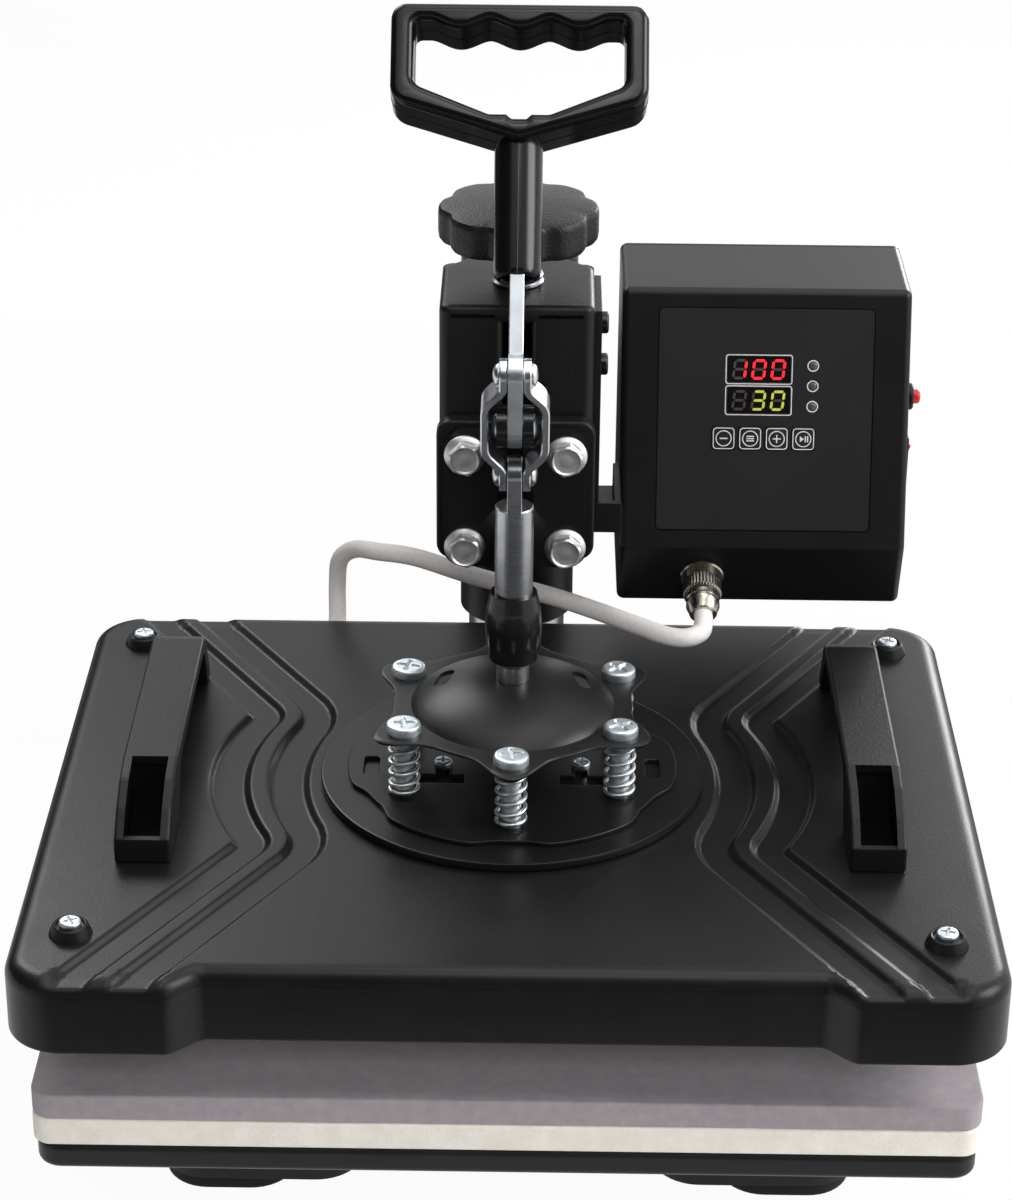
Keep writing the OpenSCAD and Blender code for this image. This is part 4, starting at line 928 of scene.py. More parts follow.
def digit(figure, x, up, out):
    """The bars of one seven-bar figure, as thin raised hexagons."""
    made = []
    for name in bars[figure]:
        mid_x, mid_y, upright = middles[name]
        half = (tall / 2 if upright else wide) / 2 - 0.28
        w = thick_bar / 2
        line = [(-half, 0), (-half + w, w), (half - w, w), (half, 0), (half - w, -w), (-half + w, -w)]
        if upright:
            line = [(-b, a) for a, b in line]
        line = [(a + mid_x + slant * (b + mid_y), b + mid_y) for a, b in line]
        made.append(inked([line], x, up, out))
    return made


for text, look, row in [("100", red_lit, 0), (" 30", green_lit, 1)]:
    x, up = display_places[row]
    lit, dead = [], []
    for k, figure in enumerate(text):
        digit_x = x + digit_step * (k - 1)
        dead += digit("8", digit_x, up, pane_face)
        if figure != " ":
            lit += digit(figure, digit_x, up, pane_face + 0.05)
    piece(f"digits_{row}", joined(*lit), look, "head", "displays")
    piece(f"digits_off_{row}", joined(*dead), unlit, "head", "displays")

lens_profile = [(0, -0.9), (lens_r, -0.9), (lens_r, 0), (1.5, 0.4), (0.8, 0.62), (0, 0.7)]
lamp_look = enamel("lamp_lens", (0.07, 0.055, 0.055), 0.18, speckle=0.2, specular=0.6)
lenses = [lathe(lens_profile, on_face(x, up, -0.6), 24) for x, up in lamp_places]
piece("lamp_lenses", joined(*lenses), lamp_look, "head", "indicator_lamps")


def stroke(x0, y0, x1, y1, width=0.55):
    """Outline of a short straight line of ink."""
    run = Vector((x1 - x0, y1 - y0)).normalized() * width / 2
    side = Vector((-run.y, run.x))
    ends = [Vector((x0, y0)) - run, Vector((x1, y1)) + run]
    return [tuple(c) for c in (ends[0] + side, ends[0] - side, ends[1] - side, ends[1] + side)]


key_signs = {
    "key_down": [stroke(-1.5, 0, 1.5, 0)],
    "key_mode": [stroke(-1.4, 1.0, 1.4, 1.0), stroke(-1.4, 0, 1.4, 0), stroke(-1.4, -1.0, 1.4, -1.0)],
    "key_up": [stroke(-1.5, 0, 1.5, 0), stroke(0, 0.55, 0, 1.5), stroke(0, -0.55, 0, -1.5)],
    "key_start": [
        [(-1.5, 1.3), (-1.5, -1.3), (0.3, 0)], stroke(0.9, 1.1, 0.9, -1.1), stroke(1.9, 1.1, 1.9, -1.1),
    ],
}
key_face = 0.22
for (x, up), node in zip(key_places, key_signs):
    body = frame["nodes"][node]["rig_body"]
    key_cap = plate([round_rect(key_w, key_w, 1.4)], 3, 0.4, on_face(x, up, -1.3))
    piece(node + "_cap", key_cap, film, body, node)
    ink = [inked([line], x, up, key_face) for line in key_signs[node]]
    ink.append(inked([round_rect(9.6, 9.6, 1.7), round_rect(8.8, 8.8, 1.3)], x, up, key_face))
    ink.append(inked([ring(3.6), ring(3.15)], x, up, key_face))
    piece(node + "_ink", joined(*ink), white_ink, body, node)


# Right side of the console: a red rocker in its snap-in frame and the red button of the
# overload cut-out. The mains socket is at the back.
red_moulding = enamel("red_moulding", (0.55, 0.015, 0.012), 0.25, speckle=0.08, specular=0.5)
eased("rocker_bezel", moulded, 0.5)
rocker_line = softened([(-3, -5), (0.6, -6.9), (0.9, 0), (3.2, 6.9), (-3, 5)], 0.8, 4)
case_side, switch_y, rocker_z, button_z = case_x + case_w / 2, 125, 255, 283
rocker = plate([rocker_line], 9.2, 0.6, at(case_side, switch_y, rocker_z) @ front_on)
piece("rocker_cap", rocker, red_moulding, "rocker", "power_rocker")
button_place = at(case_side, switch_y, button_z) @ facing_right
collar_profile = [
    (3.5, -6), (4.5, -6), (4.5, 0), (5.5, 0), (6.0, 0.5), (6.0, 1.8), (5.4, 2.5), (4.0, 2.5), (3.5, 2.0),
    (3.5, -6),
]
piece("cutout_ring", lathe(collar_profile, button_place, 40), moulded, "head", "reset_collar")
button_profile = [(0, -2.5), (3.2, -2.5), (3.2, 4.6), (2.9, 5.2), (2.2, 5.7), (1.2, 5.95), (0, 6.0)]
piece("cutout_button", lathe(button_profile, button_place, 40), red_moulding, "reset", "reset_button")
eased("power_inlet", moulded, 0.5)


# Heater lead: a nickel plated connector on the chin, a knurled ring holding its halves
# together, and from it a cable in a woven glass sleeve that goes over the back of the cover.
nickel = plated("warm_nickel", (0.50, 0.46, 0.40), 0.24, scale=420, spread=0.08)
chin_tilt, lead_x = math.atan2(chin_run, chin_drop), 84
chin_mid = at(lead_x, face_y + chin_run / 2, face_z - chin_drop / 2)
chin = chin_mid @ Matrix.Rotation(chin_tilt, 4, "X") @ front_on


def knurl(turn, radius):
    """Fine straight ribs round a grip ring."""
    return 1 - 0.03 * abs(math.sin(20 * turn))


socket_profile = [
    (0, -7), (6.5, -7), (6.5, 0), (9.4, 0), (10, 0.6), (10, 1.9), (9.4, 2.5), (7.25, 2.5), (7.25, 5.4),
    (0, 5.4),
]
ring_profile = [(0, 5.5), (8.0, 5.5), (8.75, 6.3), (8.75, 12.7), (8.0, 13.5), (0, 13.5)]
body_profile = [
    (0, 13.5), (7.0, 13.5), (7.0, 14.2), (7.5, 14.6), (7.5, 16.4), (6.9, 16.8), (6.9, 18), (7.5, 18.4),
    (7.5, 20), (6.9, 21.2), (6.2, 24.2), (5.4, 25), (0, 25),
]
piece("connector_panel_half", lathe(socket_profile, chin, 64), nickel, "head", "lead_socket")
free_half = joined(lathe(ring_profile, chin, 160, knurl), lathe(body_profile, chin, 64))
piece("connector_free_half", free_half, nickel, "head", "lead_plug")

lead_d = 8.4
plug_end, bush_mid = (lead_x, 77.59, 196.22), (-86, 157, 140.5)
from_plug = [
    (0, 0, 0), (0, -5 * math.cos(chin_tilt), -5 * math.sin(chin_tilt)), (-1.5, -9.5, -4), (-8, -12, -5.5),
    (-17.5, -7.5, -6.5), (-31, 6, -8), (-51, 27, -10.5), (-70, 41, -11), (-104, 50, -6), (-130, 58, -1),
    (-148, 66, -2),
]
from_bush = [
    (10, 4, 46.72), (2, 16, 35.72), (0, 23, 19.72), (0, 20, 5), (0, 12, 0), (0, 9, 0), (0, 0, 0),
]
stops = []
for origin, steps_away in ((plug_end, from_plug), (bush_mid, from_bush)):
    stops += [at(*(a + b for a, b in zip(origin, step))).translation for step in steps_away]
stops = [2 * stops[0] - stops[1]] + stops + [2 * stops[-1] - stops[-2]]
lead_line = []
for a, b, c, d in zip(stops, stops[1:], stops[2:], stops[3:]):
    for k in range(8):
        t = k / 8
        bowed = (2 * a - 5 * b + 4 * c - d) * t * t + (3 * b - a - 3 * c + d) * t ** 3
        lead_line.append(0.5 * (2 * b + (c - a) * t + bowed))
lead_line.append(stops[-2])


def run_of(path):
    """Length along a path at each of its points."""
    total = [0.0]
    for a, b in zip(path, path[1:]):
        total.append(total[-1] + (b - a).length)
    return total


def tube(path, radius, sides, start=0.0):
    """Closed tube along a path in the frame, with a map that runs along it in metres and once round it."""
    points, rings, maps = [], [], []
    side = (path[1] - path[0]).normalized().orthogonal().normalized()
    lengths = run_of(path)
    for k, here in enumerate(path):
        forward = (path[min(k + 1, len(path) - 1)] - path[max(k - 1, 0)]).normalized()
        side = (side - forward * side.dot(forward)).normalized()
        up = forward.cross(side)
        rings.append(range(k * sides, (k + 1) * sides))
        for i in range(sides):
            turn = 2 * math.pi * i / sides
            points.append(here + (side * math.cos(turn) + up * math.sin(turn)) * radius * mm)
    for u0, u1 in zip(lengths, lengths[1:]):
        for i in range(sides):
            v0, v1 = i / sides, (i + 1) / sides
            maps += [(start + u0, v0), (start + u0, v1), (start + u1, v1), (start + u1, v0)]
    maps += [(0, 0)] * (2 * sides)
    mesh = bpy.data.meshes.new("tube")
    mesh.from_pydata(points, [], banded(rings) + [tuple(reversed(rings[0])), tuple(rings[-1])])
    layer = mesh.uv_layers.new(name="along")
    layer.data.foreach_set("uv", [c for pair in maps for c in pair])
    return mesh


def braid(name, colour):
    """Woven sleeve: two families of strands that cross on the diagonal, a little darker between them."""
    look, tree, skin = new_look(name, {"Roughness": 0.75})
    along = wired(tree, "TexCoord").outputs["UV"]
    strands = []
    for lean in (1, -1):
        turned = wired(tree, "Mapping", {"Scale": (620, 14 * lean, 1)}, {"Vector": along})
        wave = wired(tree, "TexWave", {"Scale": 0.2, "Distortion": 0.4}, {"Vector": turned.outputs["Vector"]})
        wave.bands_direction = "DIAGONAL"
        strands.append(wave.outputs["Fac"])
    over = worked(tree, "MAXIMUM", *strands)
    tinted(tree, skin, over, 0.0, 0.7, [c * 0.95 for c in colour], colour)
    embossed(tree, skin, over, 0.6, 0.06)
    return look


sleeve_look = braid("glass_sleeve", (0.82, 0.775, 0.755))
lead_runs = run_of(lead_line)
first_cut, second_cut = (
    next(k for k, run in enumerate(lead_runs) if run > share * lead_runs[-1]) for share in (0.3, 0.8)
)
lead_parts = [
    ("lead_front", 0, first_cut, "head", "carriage"),
    ("lead_middle", first_cut, second_cut, "carriage", "plunger"),
    ("lead_rear", second_cut, len(lead_line) - 1, "plunger", "platen"),
]
for name, begin, end, body_a, body_b in lead_parts:
    path = lead_line[begin:end + 1]
    mesh = tube(path, lead_d / 2, 20, lead_runs[begin])
    mesh.materials.append(sleeve_look)
    mesh.shade_smooth()
    mesh.set_sharp_from_angle(angle=math.radians(50))
    lead = placed(name, mesh)
    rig.blend(lead, body_a, body_b, path[0], path[-1])
    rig.replaces(lead, "heater_lead")
    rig.slot(lead, "heater_lead")
    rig.cord(lead, path[0], run_of(path)[-1], lead_d * mm, "object", stiffness="stiff", lay="loose", path=path)


# Pressure carriage: a flat plate that slides on the lips of the head box, and a threaded
# block behind it that climbs the adjusting screw.
bolt_half, bolt_mid, slide_z, slide_y, slide_t = 21.5, 266, 267, 55.7, 8
slide_lines = [round_rect(68, 65, 7)]
for sx in (-1, 1):
    for sz in (-1, 1):
        slide_lines.append(shifted(ring(4.2, 20), sx * bolt_half, bolt_mid - slide_z + sz * bolt_half))
slide = plate(slide_lines, slide_t, 1.4, at(0, slide_y, slide_z) @ front_on)
piece("slide", slide, head_black, "carriage", "slide_plate")
eased("screw_nut", ground, 0.8)


# Adjuster: a rolled steel screw with a bright flange nut, and a grained black knob with
# eight broad lobes moulded over the nut.
def thread(radius, pitch, deep, low, high, place, steps=28):
    """Closed bar with a helical thread rolled into it."""
    points = []
    rows = int((high - low) / (pitch / 6))
    for i in range(rows + 1):
        z = low + (high - low) * i / rows
        fade = min(1, i / 5, (rows - i) / 5)
        for k in range(steps):
            wave = abs(((z / pitch - k / steps) % 1) * 2 - 1)
            r = radius - deep * (1 - fade + fade * wave)
            turn = 2 * math.pi * k / steps
            points.append((r * math.cos(turn), r * math.sin(turn), z))
    rings = [range(i * steps, (i + 1) * steps) for i in range(rows + 1)]
    return mesh_of(points, banded(rings) + [tuple(reversed(rings[0])), tuple(rings[-1])], place)


def hexagon(turn, radius):
    """Six flats round a nut or bolt head."""
    return math.cos(math.pi / 6) / math.cos((turn + math.pi / 6) % (math.pi / 3) - math.pi / 6)


def lobes(turn, radius):
    """Eight broad lobes with a narrow hollow between them, fading out towards the middle."""
    off = turn % (math.pi / 4) - math.pi / 8
    return 1 - 0.075 * math.exp(-(off / 0.15) ** 2) * min(1, (radius / 30) ** 6)


screw_low, screw_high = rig.box("pressure_screw")
spindle_foot = at(0, 91, 0)
under_lid = [(0, 339.7), (9.4, 339.7), (10, 340.2), (10, 343.2), (9.4, 343.7), (0, 343.7)]
spindle = joined(
    thread(6, 2.0, 0.9, screw_low.z / mm, screw_high.z / mm, spindle_foot), lathe(under_lid, spindle_foot, 40)
)
piece("spindle", spindle, bright, "adjuster", "pressure_screw", sharp=60)
nut_flange = [
    (6.0, 350.3), (10.3, 350.3), (10.8, 350.8), (10.8, 351.9), (10.2, 352.8), (9.6, 352.85), (6.0, 352.85),
    (6.0, 350.3),
]
nut_hex = [(6.0, 352.8), (10, 352.8), (10, 360.8, 9.8), (10, 361.6, 8.8), (6.0, 361.6), (6.0, 352.8)]
nut = joined(lathe(nut_flange, spindle_foot), lathe(nut_hex, spindle_foot, 72, hexagon))
piece("flange_nut", nut, bright, "adjuster", "knob_nut")

knob_black = enamel("knob_moulding", (0.008, 0.008, 0.0085), 0.42, grain=760, bump=0.8, specular=0.35)
knob_profile = [
    (0, 362.2), (6.0, 362.2), (6.0, 361.6), (11.2, 361.6), (12, 362.4), (12, 366.6), (30, 366.7),
    (32.6, 367.5), (33.9, 369.2), (34.25, 371.5), (34.25, 379.6), (34.0, 381.3), (33.2, 382.4),
    (31.6, 382.9), (27, 383.6), (20, 384.5), (12, 385.2), (6, 385.5), (0, 385.6),
]
knob = lathe(knob_profile, spindle_foot, 192, lobes)
piece("knob", knob, knob_black, "adjuster", "pressure_knob")


# Toggle: a black casting with a square base, two ears for the lever and a barrel that
# guides the plunger. Four bright flange bolts clamp it to the sliding plate.
gloss_black = enamel("casting_gloss", (0.008, 0.008, 0.0085), 0.19, grain=420, bump=0.06, specular=0.35)
eased("toggle_body", gloss_black, 1.8)
bolt_stem = [
    (0, -16), (4.1, -16), (4.1, 0), (8.4, 0), (8.95, 0.5), (8.8, 1.2), (7.4, 2.5), (6.8, 2.7), (0, 2.7),
]
bolt_hex = [
    (0, 2.2), (7.5, 2.2), (7.5, 6.7, 7.3), (7.5, 7.4, 6.3), (7.5, 7.4, 5.8), (7.5, 6.7, 5.2), (7.5, 6.5, 3.4),
    (7.5, 6.7, 2.6), (0, 6.7),
]
bolts = []
for sx in (-1, 1):
    for sz in (-1, 1):
        bolt_place = at(sx * bolt_half, slide_y - 12, bolt_mid + sz * bolt_half) @ front_on
        spun = bolt_place @ Matrix.Rotation(math.radians(17 * sx + 31 * sz), 4, "Z")
        bolts += [lathe(bolt_stem, bolt_place, 48), lathe(bolt_hex, spun, 72, hexagon)]
bolt_zinc = plated("bolt_zinc", (0.80, 0.80, 0.80), 0.5, scale=600, spread=0.06)
piece("flange_bolts", joined(*bolts), bolt_zinc, "carriage", "hex_bolts")
eased("pivot_pin", zinc, 0.3)


# Lever: a flat zinc plated bar on the pivot pin, its crank carrying the links. A looped
# handle with finger bumps is pushed onto its far end, moulded glossy black in two halves.
eased("lever_bar", zinc, 0.5)
lever = at(0, -6, 322) @ Matrix.Rotation(math.radians(-36), 4, "X")
handle_black = enamel("handle_gloss", (0.004, 0.004, 0.0043), 0.22, grain=300, bump=0.03, specular=0.3)
loop_side = [(53, 132.6, 9), (53, 174.5, 6.5)]
loop_out = [(0, 116.5, 6)] + loop_side + [(-x, y, r) for x, y, r in reversed(loop_side)]
hole_right = [(12.5, 127.5, 4), (43.5, 140, 5), (43.5, 167.5, 3)]
hole_top, bump_deep, bump_step = [], 3.9, 24.6
for x in np.linspace(1.5 * bump_step, -1.5 * bump_step, 61):
    wave = 0.5 + 0.5 * math.cos(2 * math.pi * x / bump_step)
    hole_top.append((x, 167.5 - bump_deep * wave ** 0.8, 0))
notch = [(-5, 127.5, 1), (-3, 125.6, 1.2), (3, 125.6, 1.2), (5, 127.5, 1)]
hole = hole_right + hole_top + [(-x, y, r) for x, y, r in reversed(hole_right)] + notch
loop_lines = [softened(line, 0, 6) for line in (loop_out, hole)]
loop = plate(loop_lines, 30, 3.2, lever @ front_on, rounds=4)
parting = plate(loop_lines, 0.9, 0.2, lever @ front_on, grow=0.2)
stem_profile = [
    (0, 70), (6.4, 70), (6.4, 61.8), (7.0, 61.1), (8.2, 61.2), (9.3, 62.2), (9.7, 64), (10, 90), (10, 116),
    (9.6, 119), (8.2, 122), (5, 124), (0, 124.6),
]
stem = lathe(stem_profile, lever, 56)
seam_line = [lever @ Vector((0, -9.95 * mm, h * mm)) for h in np.linspace(62, 122, 24)]
handle = joined(loop, parting, stem, tube(seam_line, 0.18, 8))
piece("looped_handle", handle, handle_black, "lever", "handle_grip")


# Links: two straps bent from flat steel, bright zinc, bulging round the ears. Domed rivets
# join them to the crank above and to the tongue of the plunger below.
link_run, link_rise, tongue_z = 6, 46, 298
link_len = math.hypot(link_run, link_rise)
link = at(0, 0, tongue_z) @ Matrix.Rotation(math.atan2(link_run, link_rise), 4, "X")


def strap(side):
    """Bent strap with half-round ends, standing along Z of the link."""
    near, far_out, thick, round_end, chamfer = 3.3, 10.8, 3.2, 7, 0.5
    way = [
        (near, -7), (near, 5.3), (far_out, 13.3), (far_out, link_len - 12.7), (near, link_len - 5.3),
        (near, link_len + 7),
    ]
    way = [Vector(stop) for stop in way]
    eased_way = [way[0]]
    for a, b, c in zip(way, way[1:], way[2:]):
        start, end = b + (a - b).normalized() * 2.6, b + (c - b).normalized() * 2.6
        for k in range(7):
            t = k / 6
            eased_way.append(start * (1 - t) ** 2 + b * 2 * t * (1 - t) + end * t * t)
    eased_way.append(way[-1])
    fine = []
    for a, b in zip(eased_way, eased_way[1:]):
        count = max(1, int((b - a).length / 0.6))
        fine += [a.lerp(b, k / count) for k in range(count)]
    fine.append(eased_way[-1])
    points, rings = [], []
    for k, (x, z) in enumerate(fine):
        run = (fine[min(k + 1, len(fine) - 1)] - fine[max(k - 1, 0)]).normalized()
        end = max(0, -z, z - link_len)
        half = math.sqrt(max(0.02, round_end ** 2 - end * end))
        outline = [(0, half - chamfer), (chamfer, half), (thick - chamfer, half), (thick, half - chamfer)]
        section = [(o, -w) for o, w in outline] + list(reversed(outline))
        rings.append(range(len(points), len(points) + len(section)))
        points += [(side * (x + run.y * o), w, z - run.x * o) for o, w in section]
    return mesh_of(points, banded(rings) + [tuple(rings[0]), tuple(rings[-1])], link)


strap_zinc = plated("strap_zinc", (0.66, 0.68, 0.71), 0.32, streak=(1, 1, 0.15), scale=420)
piece("right_strap", strap(1), strap_zinc, "links", "link_right")
piece("left_strap", strap(-1), strap_zinc, "links", "link_left")
dome = [(0, -0.2), (5, -0.2), (5, 0.5), (4.7, 1.2), (4.0, 1.9), (2.9, 2.4), (1.5, 2.72), (0, 2.8)]


def pin(radius, low, high, place, steps=32):
    """Plain round pin."""
    return lathe([(0, low), (radius, low), (radius, high), (0, high)], place, steps)


link_top = link @ Matrix.Translation((0, 0, link_len * mm))
rivets = [pin(3.2, -6.5, 6.5, link_top @ facing_right)]
for s in (-1, 1):
    outward = Matrix.Rotation(s * math.pi / 2, 4, "Y")
    for joint in (link, link_top):
        rivets.append(lathe(dome, joint @ Matrix.Translation((s * 6.5 * mm, 0, 0)) @ outward, 40))
    rivets.append(pin(3.2, 3.4, 6.4, link @ outward))
piece("link_domes", joined(*rivets), bright, "links", "link_rivets")


# Plunger: a ground steel rod milled to a tongue for the links. Below the barrel it carries
# a star pressed from sheet, domed in the middle, with a hole for a shoulder screw in each lobe.
rod_profile = [
    (0, 188), (4, 188), (4, 204), (7, 204), (7, 211.4), (7.6, 212), (8, 212.6), (8, 283.5), (7.5, 284),
    (0, 284),
]
tongue_line = [(-8, 282), (8, 282)]
tongue_line += [(8 * math.cos(a), tongue_z + 8 * math.sin(a)) for a in np.linspace(0, math.pi, 25)]
rod = joined(lathe(rod_profile, at(0, 0, 0), 64), plate([tongue_line], 6, 0.4, at(0, 0, 0) @ side_on))
piece("rod", rod, ground, "plunger", "plunger_rod")
eased("plunger_nut", zinc, 0.3)
star_black = enamel("star_enamel", (0.012, 0.012, 0.0125), 0.36, grain=900, bump=0.1, specular=0.28)
star_z, star_steps, dome_r, flat_r, flange_top = 190, 240, 43, 44.5, 2.0


def star_reach(turn):
    """How far the star's edge stands from its middle."""
    return 51 + 14.8 * ((1 + math.cos(6 * (turn + math.pi / 2))) / 2) ** 2.4


def star_height(r):
    """Top face of the star over the flange's underside."""
    return flange_top + 12 * max(0, 1 - (r / dome_r) ** 2.2) ** 0.75


star_rows = [4.3, 8, 12, 16, 20, 24, 28.2, 30.4, 32.6, 35, 37.5, 39.5, 41.2, 42.3, 43.2, flat_r]
star_rims = [(0.5, 0), (0.86, 0), (0.95, 0.2), (1, 0.75)]
star_turns = [2 * math.pi * k / star_steps for k in range(star_steps)]
points = []
for r in star_rows:
    points += [(r * math.cos(turn), r * math.sin(turn), star_height(r)) for turn in star_turns]
for share, drop in star_rims:
    for turn in star_turns:
        r = flat_r + (star_reach(turn) - flat_r) * share
        points.append((r * math.cos(turn), r * math.sin(turn), flange_top - drop))
star_rings = [range(k, k + star_steps) for k in range(0, len(points), star_steps)]
star_mesh = mesh_of(points, banded(star_rings[::-1]), at(0, 0, star_z))
slot_knives = []
for turn in (15, 165):
    spoke = Matrix.Rotation(math.radians(turn), 4, "Z") @ Matrix.Translation((30.4 * mm, 0, 0))
    slot_knives.append(plate([round_rect(6.4, 15, 3)], 30, 0.02, at(0, 0, star_z + 6) @ spoke))
piece("star", cut(star_mesh, *slot_knives, sheet=1.9), star_black, "plunger", "star_plate")


# Platen hanger: a round plate on the cover with a scalloped adapter on it. Six shoulder
# screws hold them under the star, each inside an open coil spring that lets the platen float.
disc_black = enamel("disc_enamel", (0.006, 0.006, 0.0063), 0.32, grain=900, bump=0.1, specular=0.26)
cover_top, adapter_top = 157, 163
disc_profile = [(0, 0), (81, 0), (82, 1), (82, 2.8), (81.6, 3.7), (80.8, 4), (0, 4)]
piece("disc", lathe(disc_profile, at(0, 0, cover_top), 160), disc_black, "platen", "round_disc")


def adapter_reach(turn):
    """Edge of the adapter plate, hollowed a little outside each spring."""
    off = (turn + math.pi / 2 + math.pi / 6) % (math.pi / 3) - math.pi / 6
    return 70.3 - 4.0 * math.exp(-(off / 0.19) ** 4)


adapter_line = [(adapter_reach(a) * math.cos(a), adapter_reach(a) * math.sin(a)) for a in star_turns]
tee = [(-9.2, -3.7), (9.2, -3.7), (9.2, 3.7), (2.5, 3.7), (2.5, 15), (-2.5, 15), (-2.5, 3.7), (-9.2, 3.7)]
adapter_holes, small_screws, screw_x = [], [], 29.5
for s in (-1, 1):
    adapter_holes.append(shifted(round_rect(6.3, 16, 2), s * 60, -4))
    adapter_holes.append(shifted(softened(tee, 0.6, 3), s * screw_x, -15))
    small_screws.append(pan_head(8, 2.6, at(s * screw_x, -3, adapter_top)))
    small_screws.append(pin(1.9, 159.2, adapter_top, at(s * screw_x, -3, 0), 20))
adapter = plate([adapter_line] + adapter_holes, 2, 0.55, at(0, 0, adapter_top - 1))
piece("adapter", adapter, disc_black, "platen", "adapter_plate")
piece("adapter_pan_screws", joined(*small_screws), zinc, "platen", "adapter_screws")

six_places, bolt_circle, head_z = [], 52.3, 192
for k in range(6):
    turn = math.radians(60 * k - 90)
    spin = math.radians(17 * k + 8)
    six_places.append((bolt_circle * math.cos(turn), bolt_circle * math.sin(turn), spin))
shanks = []
for x, y, spin in six_places:
    shanks.append(pan_head(14.7, 4, at(x, y, head_z) @ Matrix.Rotation(spin, 4, "Z")))
    shanks.append(pin(4.4, 158.2, head_z, at(x, y, 0)))
blue_zinc = plated("blue_zinc", (0.72, 0.78, 0.82), 0.46, scale=700, spread=0.05)
piece("shoulder_pan_screws", joined(*shanks), blue_zinc, "platen", "shoulder_screws")

wire, mean, spring_h, spring_min = 1.8, 6.0, 27, 19
turns, turn_steps, closed_pitch = 6, 28, 2.3
open_pitch = (spring_h - wire - 2 * closed_pitch) / (turns - 2)
coils = []
for x, y, spin in six_places:
    path = []
    for i in range(turns * turn_steps + 1):
        n = i / turn_steps
        open_turns = min(max(n - 1, 0), turns - 2)
        up = wire / 2 + (n - open_turns) * closed_pitch + open_turns * open_pitch
        turn = 2 * math.pi * n + spin
        path.append(at(x + mean * math.cos(turn), y + mean * math.sin(turn), adapter_top + up).translation)
    coils.append(tube(path, wire / 2, 10))
spring_bright = plated("spring_wire", (0.9, 0.91, 0.92), 0.36, scale=900)
coil_set = piece("coil_springs", joined(*coils), spring_bright, "plunger", "springs", sharp=60)
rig.squash(coil_set, "platen_float", (0, 0, 1), at(0, 0, star_z).translation, keep=spring_min / spring_h)


# Heat cover: drawn from steel sheet with bent styling valleys on both sides, satin black.
# Black cups at its corners hold the screws that clamp it to the aluminium heating plate.
cover_x, cover_y = span("heat_cover")[1].x / 2, 160.0
cover_h, cover_corner, cover_edge, cover_set = 30.5, 23.0, 7.0, -9


def ease(t):
    """Smooth step from 0 to 1."""
    t = min(1.0, max(0.0, t))
    return t * t * (3 - 2 * t)


def cover_front(x):
    """Front edge of the cover's plan, set back between its two corner lobes."""
    return -cover_y + 11 * ease((x + 133.5) / 17) * ease((137.5 - x) / 16)


def valley_line(y):
    """Outer line of the styling valleys on the left: straight, bowed between two corners, straight."""
    if y > 62:
        return -116 - 63.5 * (y - 62) / 102
    if y < -150:
        return -173 - 8.5 * (-150 - y) / 14
    if y < -50.5:
        return -113.5 - 59.5 * (-50.5 - y) / 99.5
    bow = (y - 62) * (y + 50.5) / ((6 - 62) * (6 + 50.5))
    return -116 + 2.5 * (62 - y) / 112.5 - 14.2 * bow


def bent(y, soft):
    """The same line with its corners rounded off over a length of soft."""
    return sum(valley_line(y + soft * share) for share in (-1, -0.5, 0, 0.5, 1)) / 5


def valley(x, y):
    """Depth of the styling valleys at a place on the cover."""
    depth = 0
    for begin, end, soft in ((0, 15.5, 2), (25, 40.5, 9)):
        outer = ease((1.7 - begin - abs(x) - bent(y, soft)) / 3.4)
        depth += outer * ease((end + 1.7 + abs(x) + bent(y, soft + 5)) / 3.4)
    return 2.5 * depth


rim = [r / (2 * cover_y) for r in (0, 0.05, 0.2, 0.5, 0.95, 1.6, 2.5, 3.6, 5.2, 7.2, 9)]
shares = rim + list(np.linspace(0.036, 0.964, 350)) + [1 - r for r in reversed(rim)]
points, grid = [], []
for x in stations_over(cover_x, cover_corner, 6, 440):
    short = corner_cut(x, cover_x, cover_corner)
    front, back = cover_front(x) + short, cover_y - short
    slope = cover_front(x + 0.5) - cover_front(x - 0.5)
    column = []
    for share in shares:
        y = front + (back - front) * share
        inside = depth_inside(x, y, cover_x, cover_y, cover_corner)
        inside = min(inside, (y - cover_front(x)) / math.hypot(1, slope))
        inside = max(0, min(inside, cover_edge))
        column.append(len(points))
        sunk = rim_fall(inside, cover_edge) + valley(x, y) * ease(inside / cover_edge * 1.3)
        points.append((x, y, cover_h - sunk))
    grid.append(column)
rings = [rim_walk(grid)]
edge_line = [points[k] for k in rings[0]]
for inset, height in ((0, -0.3), (0.35, -1.2), (1.2, -1.5), (3.0, -1.1), (3.0, 20)):
    rings.append(range(len(points), len(points) + len(edge_line)))
    points += [(x * (1 - inset / cover_x), y * (1 - inset / cover_y), height) for x, y, z in edge_line]
cover_faces = grid_faces(grid) + banded(rings) + [tuple(rings[-1])]
cover_mesh = mesh_of(points, cover_faces, at(0, cover_set, cover_top - cover_h))
cover_black = enamel("cover_enamel", (0.007, 0.007, 0.0075), 0.33, grain=900, bump=0.12, specular=0.24)
piece("cover", cover_mesh, cover_black, "platen", "heat_cover", sharp=40)

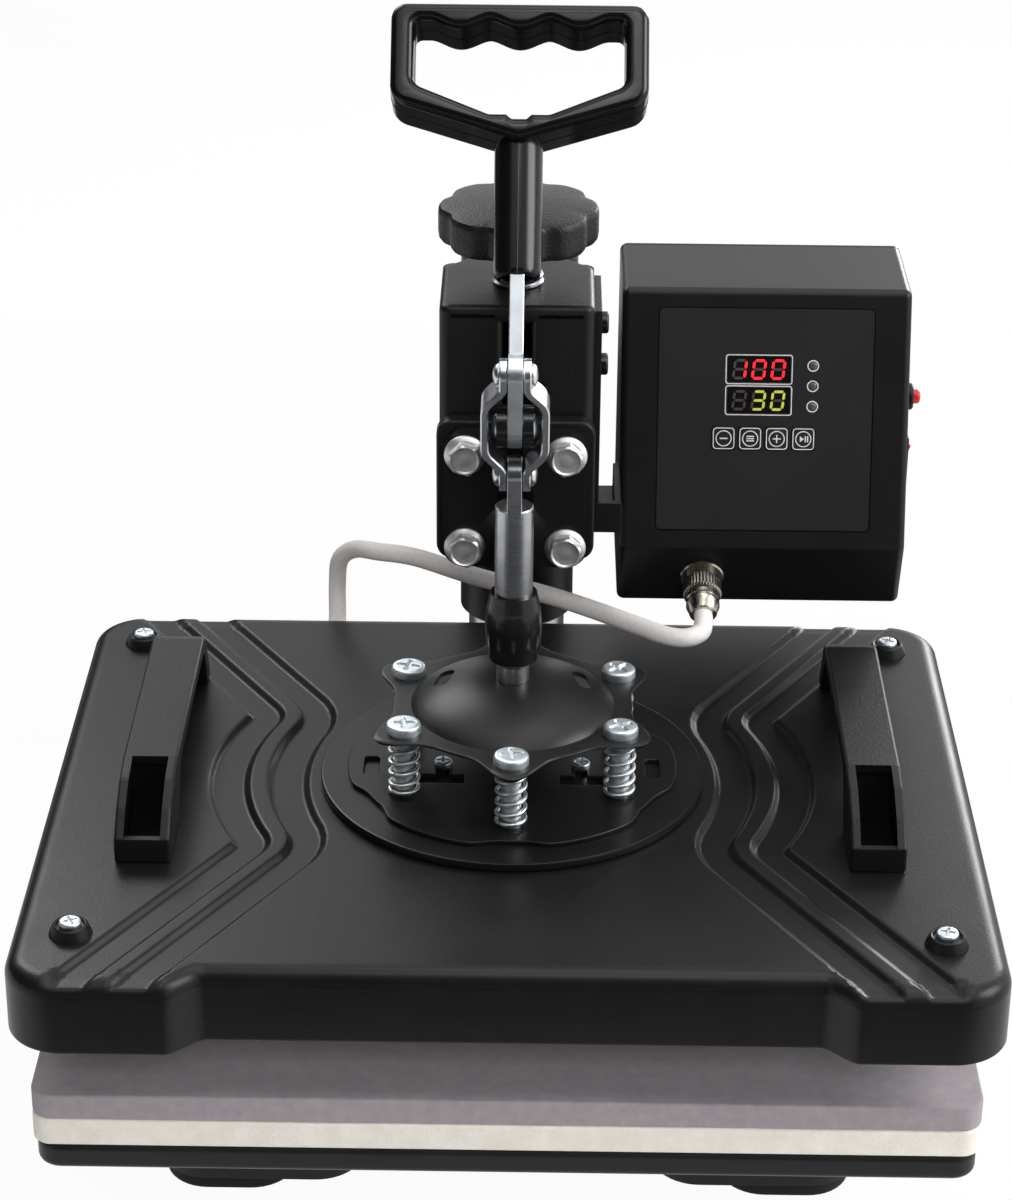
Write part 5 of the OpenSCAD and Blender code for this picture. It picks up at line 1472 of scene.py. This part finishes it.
cups, cover_heads = [], []
cup_profile = [
    (0, -0.3), (8.8, -0.3), (8.5, 0.8), (7.5, 3.0), (7.0, 4.2), (6.4, 4.6), (5.8, 4.4), (5.3, 3.4), (0, 3.2),
]
for sx in (-1, 1):
    for sy in (-1, 1):
        cup_x, cup_y = sx * 172, cover_set + sy * 126 + 3
        cups.append(lathe(cup_profile, at(cup_x, cup_y, cover_top), 48))
        spin = Matrix.Rotation(math.radians(25 * sx + 40 * sy), 4, "Z")
        cover_heads.append(pan_head(9, 3.2, at(cup_x, cup_y, cover_top + 3) @ spin))
piece("corner_cups", joined(*cups), moulded, "platen", "heat_cover")
piece("cover_pan_screws", joined(*cover_heads), zinc, "platen", "cover_screws")

aluminium = plated("cast_aluminium", (0.55, 0.56, 0.57), 0.4, scale=300)
heat_mid, heat_size = span("heating_plate")
heat_line = round_rect(heat_size.x, heat_size.y, 16)
heat_slab = plate([heat_line], heat_size.z, 1.2, Matrix.Translation(heat_mid))
piece("heating_slab", heat_slab, aluminium, "platen", "heating_plate")


# Side handles: two moulded bridges screwed to the cover, matt black with a fine grain, a
# deep open pocket in the front leg for its screw, its inside painted near black as shade. The heater lead enters by a
# bush behind.
bridge_black = enamel("bridge_moulding", (0.006, 0.006, 0.0063), 0.46, grain=700, bump=0.25, specular=0.26)
bridge_x, bridge_w, pocket_w = 150, 23, 15
bridge_out = [
    (-78, 0, 1), (-78, 11, 1.2), (-67, 19.5, 8), (-53, 25.5, 12), (-38, 28, 6), (70, 28, 10), (79, 25, 8),
    (92, 0, 1),
]
bridge_in = [(80, 0, 0.5), (71, 20, 5), (66, 21, 5), (-23, 21, 6), (-30, 19.5, 6), (-44, 0, 0.5)]
bridge_line = softened(bridge_out + bridge_in, 0, 5)
pocket_line = softened([
    (-74.5, 5, 1), (-49, 5, 3), (-37, 23, 2), (-39.5, 34, 0), (-84, 34, 0), (-84, 11, 0), (-74.5, 11, 0.3),
], 0, 4)
bridges = []
for s in (-1, 1):
    beside = at(s * bridge_x, 0, cover_top) @ side_on
    bridge_bar = plate([bridge_line], bridge_w, 1.5, beside)
    bridges.append(cut(bridge_bar, plate([pocket_line], pocket_w, 0.1, beside)))
bridge = piece("bridge_handles", joined(*bridges), bridge_black, "platen", "side_handles")
# The pocket's faces take a near-black matt material: painted shade for the shadow deep in the pocket, darker than the
# bridge's own moulding.
pocket_painted_shade = enamel("pocket_painted_shade", (0.0015, 0.0015, 0.0015), 0.75, grain=500, bump=0.2, specular=0.05)
bridge.data.materials.append(pocket_painted_shade)
# Faces inside the pocket's cut are given the painted-shade material.
for facet in bridge.data.polygons:
    across = abs(abs(facet.center.x) / mm - bridge_x)
    along, up = (facet.center.y - rod_y) / mm, facet.center.z / mm - cover_top
    behind = -45.5 + up * 14 / 19.5
    if across < pocket_w / 2 + 0.1 and -75.2 < along < behind and 4.8 < up < 24.6:
        facet.material_index = 1
gland_profile = [
    (0, 0), (4.25, 0), (5.6, 0), (6.5, 0.8), (6.5, 5.2), (6.0, 6), (4.4, 6), (4.4, 8.6), (0, 8.6),
]
piece("lead_bush", lathe(gland_profile, at(*bush_mid) @ front_on, 40), rubber, "platen", "lead_gland")

low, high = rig.bounds()
with open("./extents.json", "w") as out:
    json.dump({"cad": [list(cad_low), list(cad_high)], "visual": [list(low), list(high)]}, out)
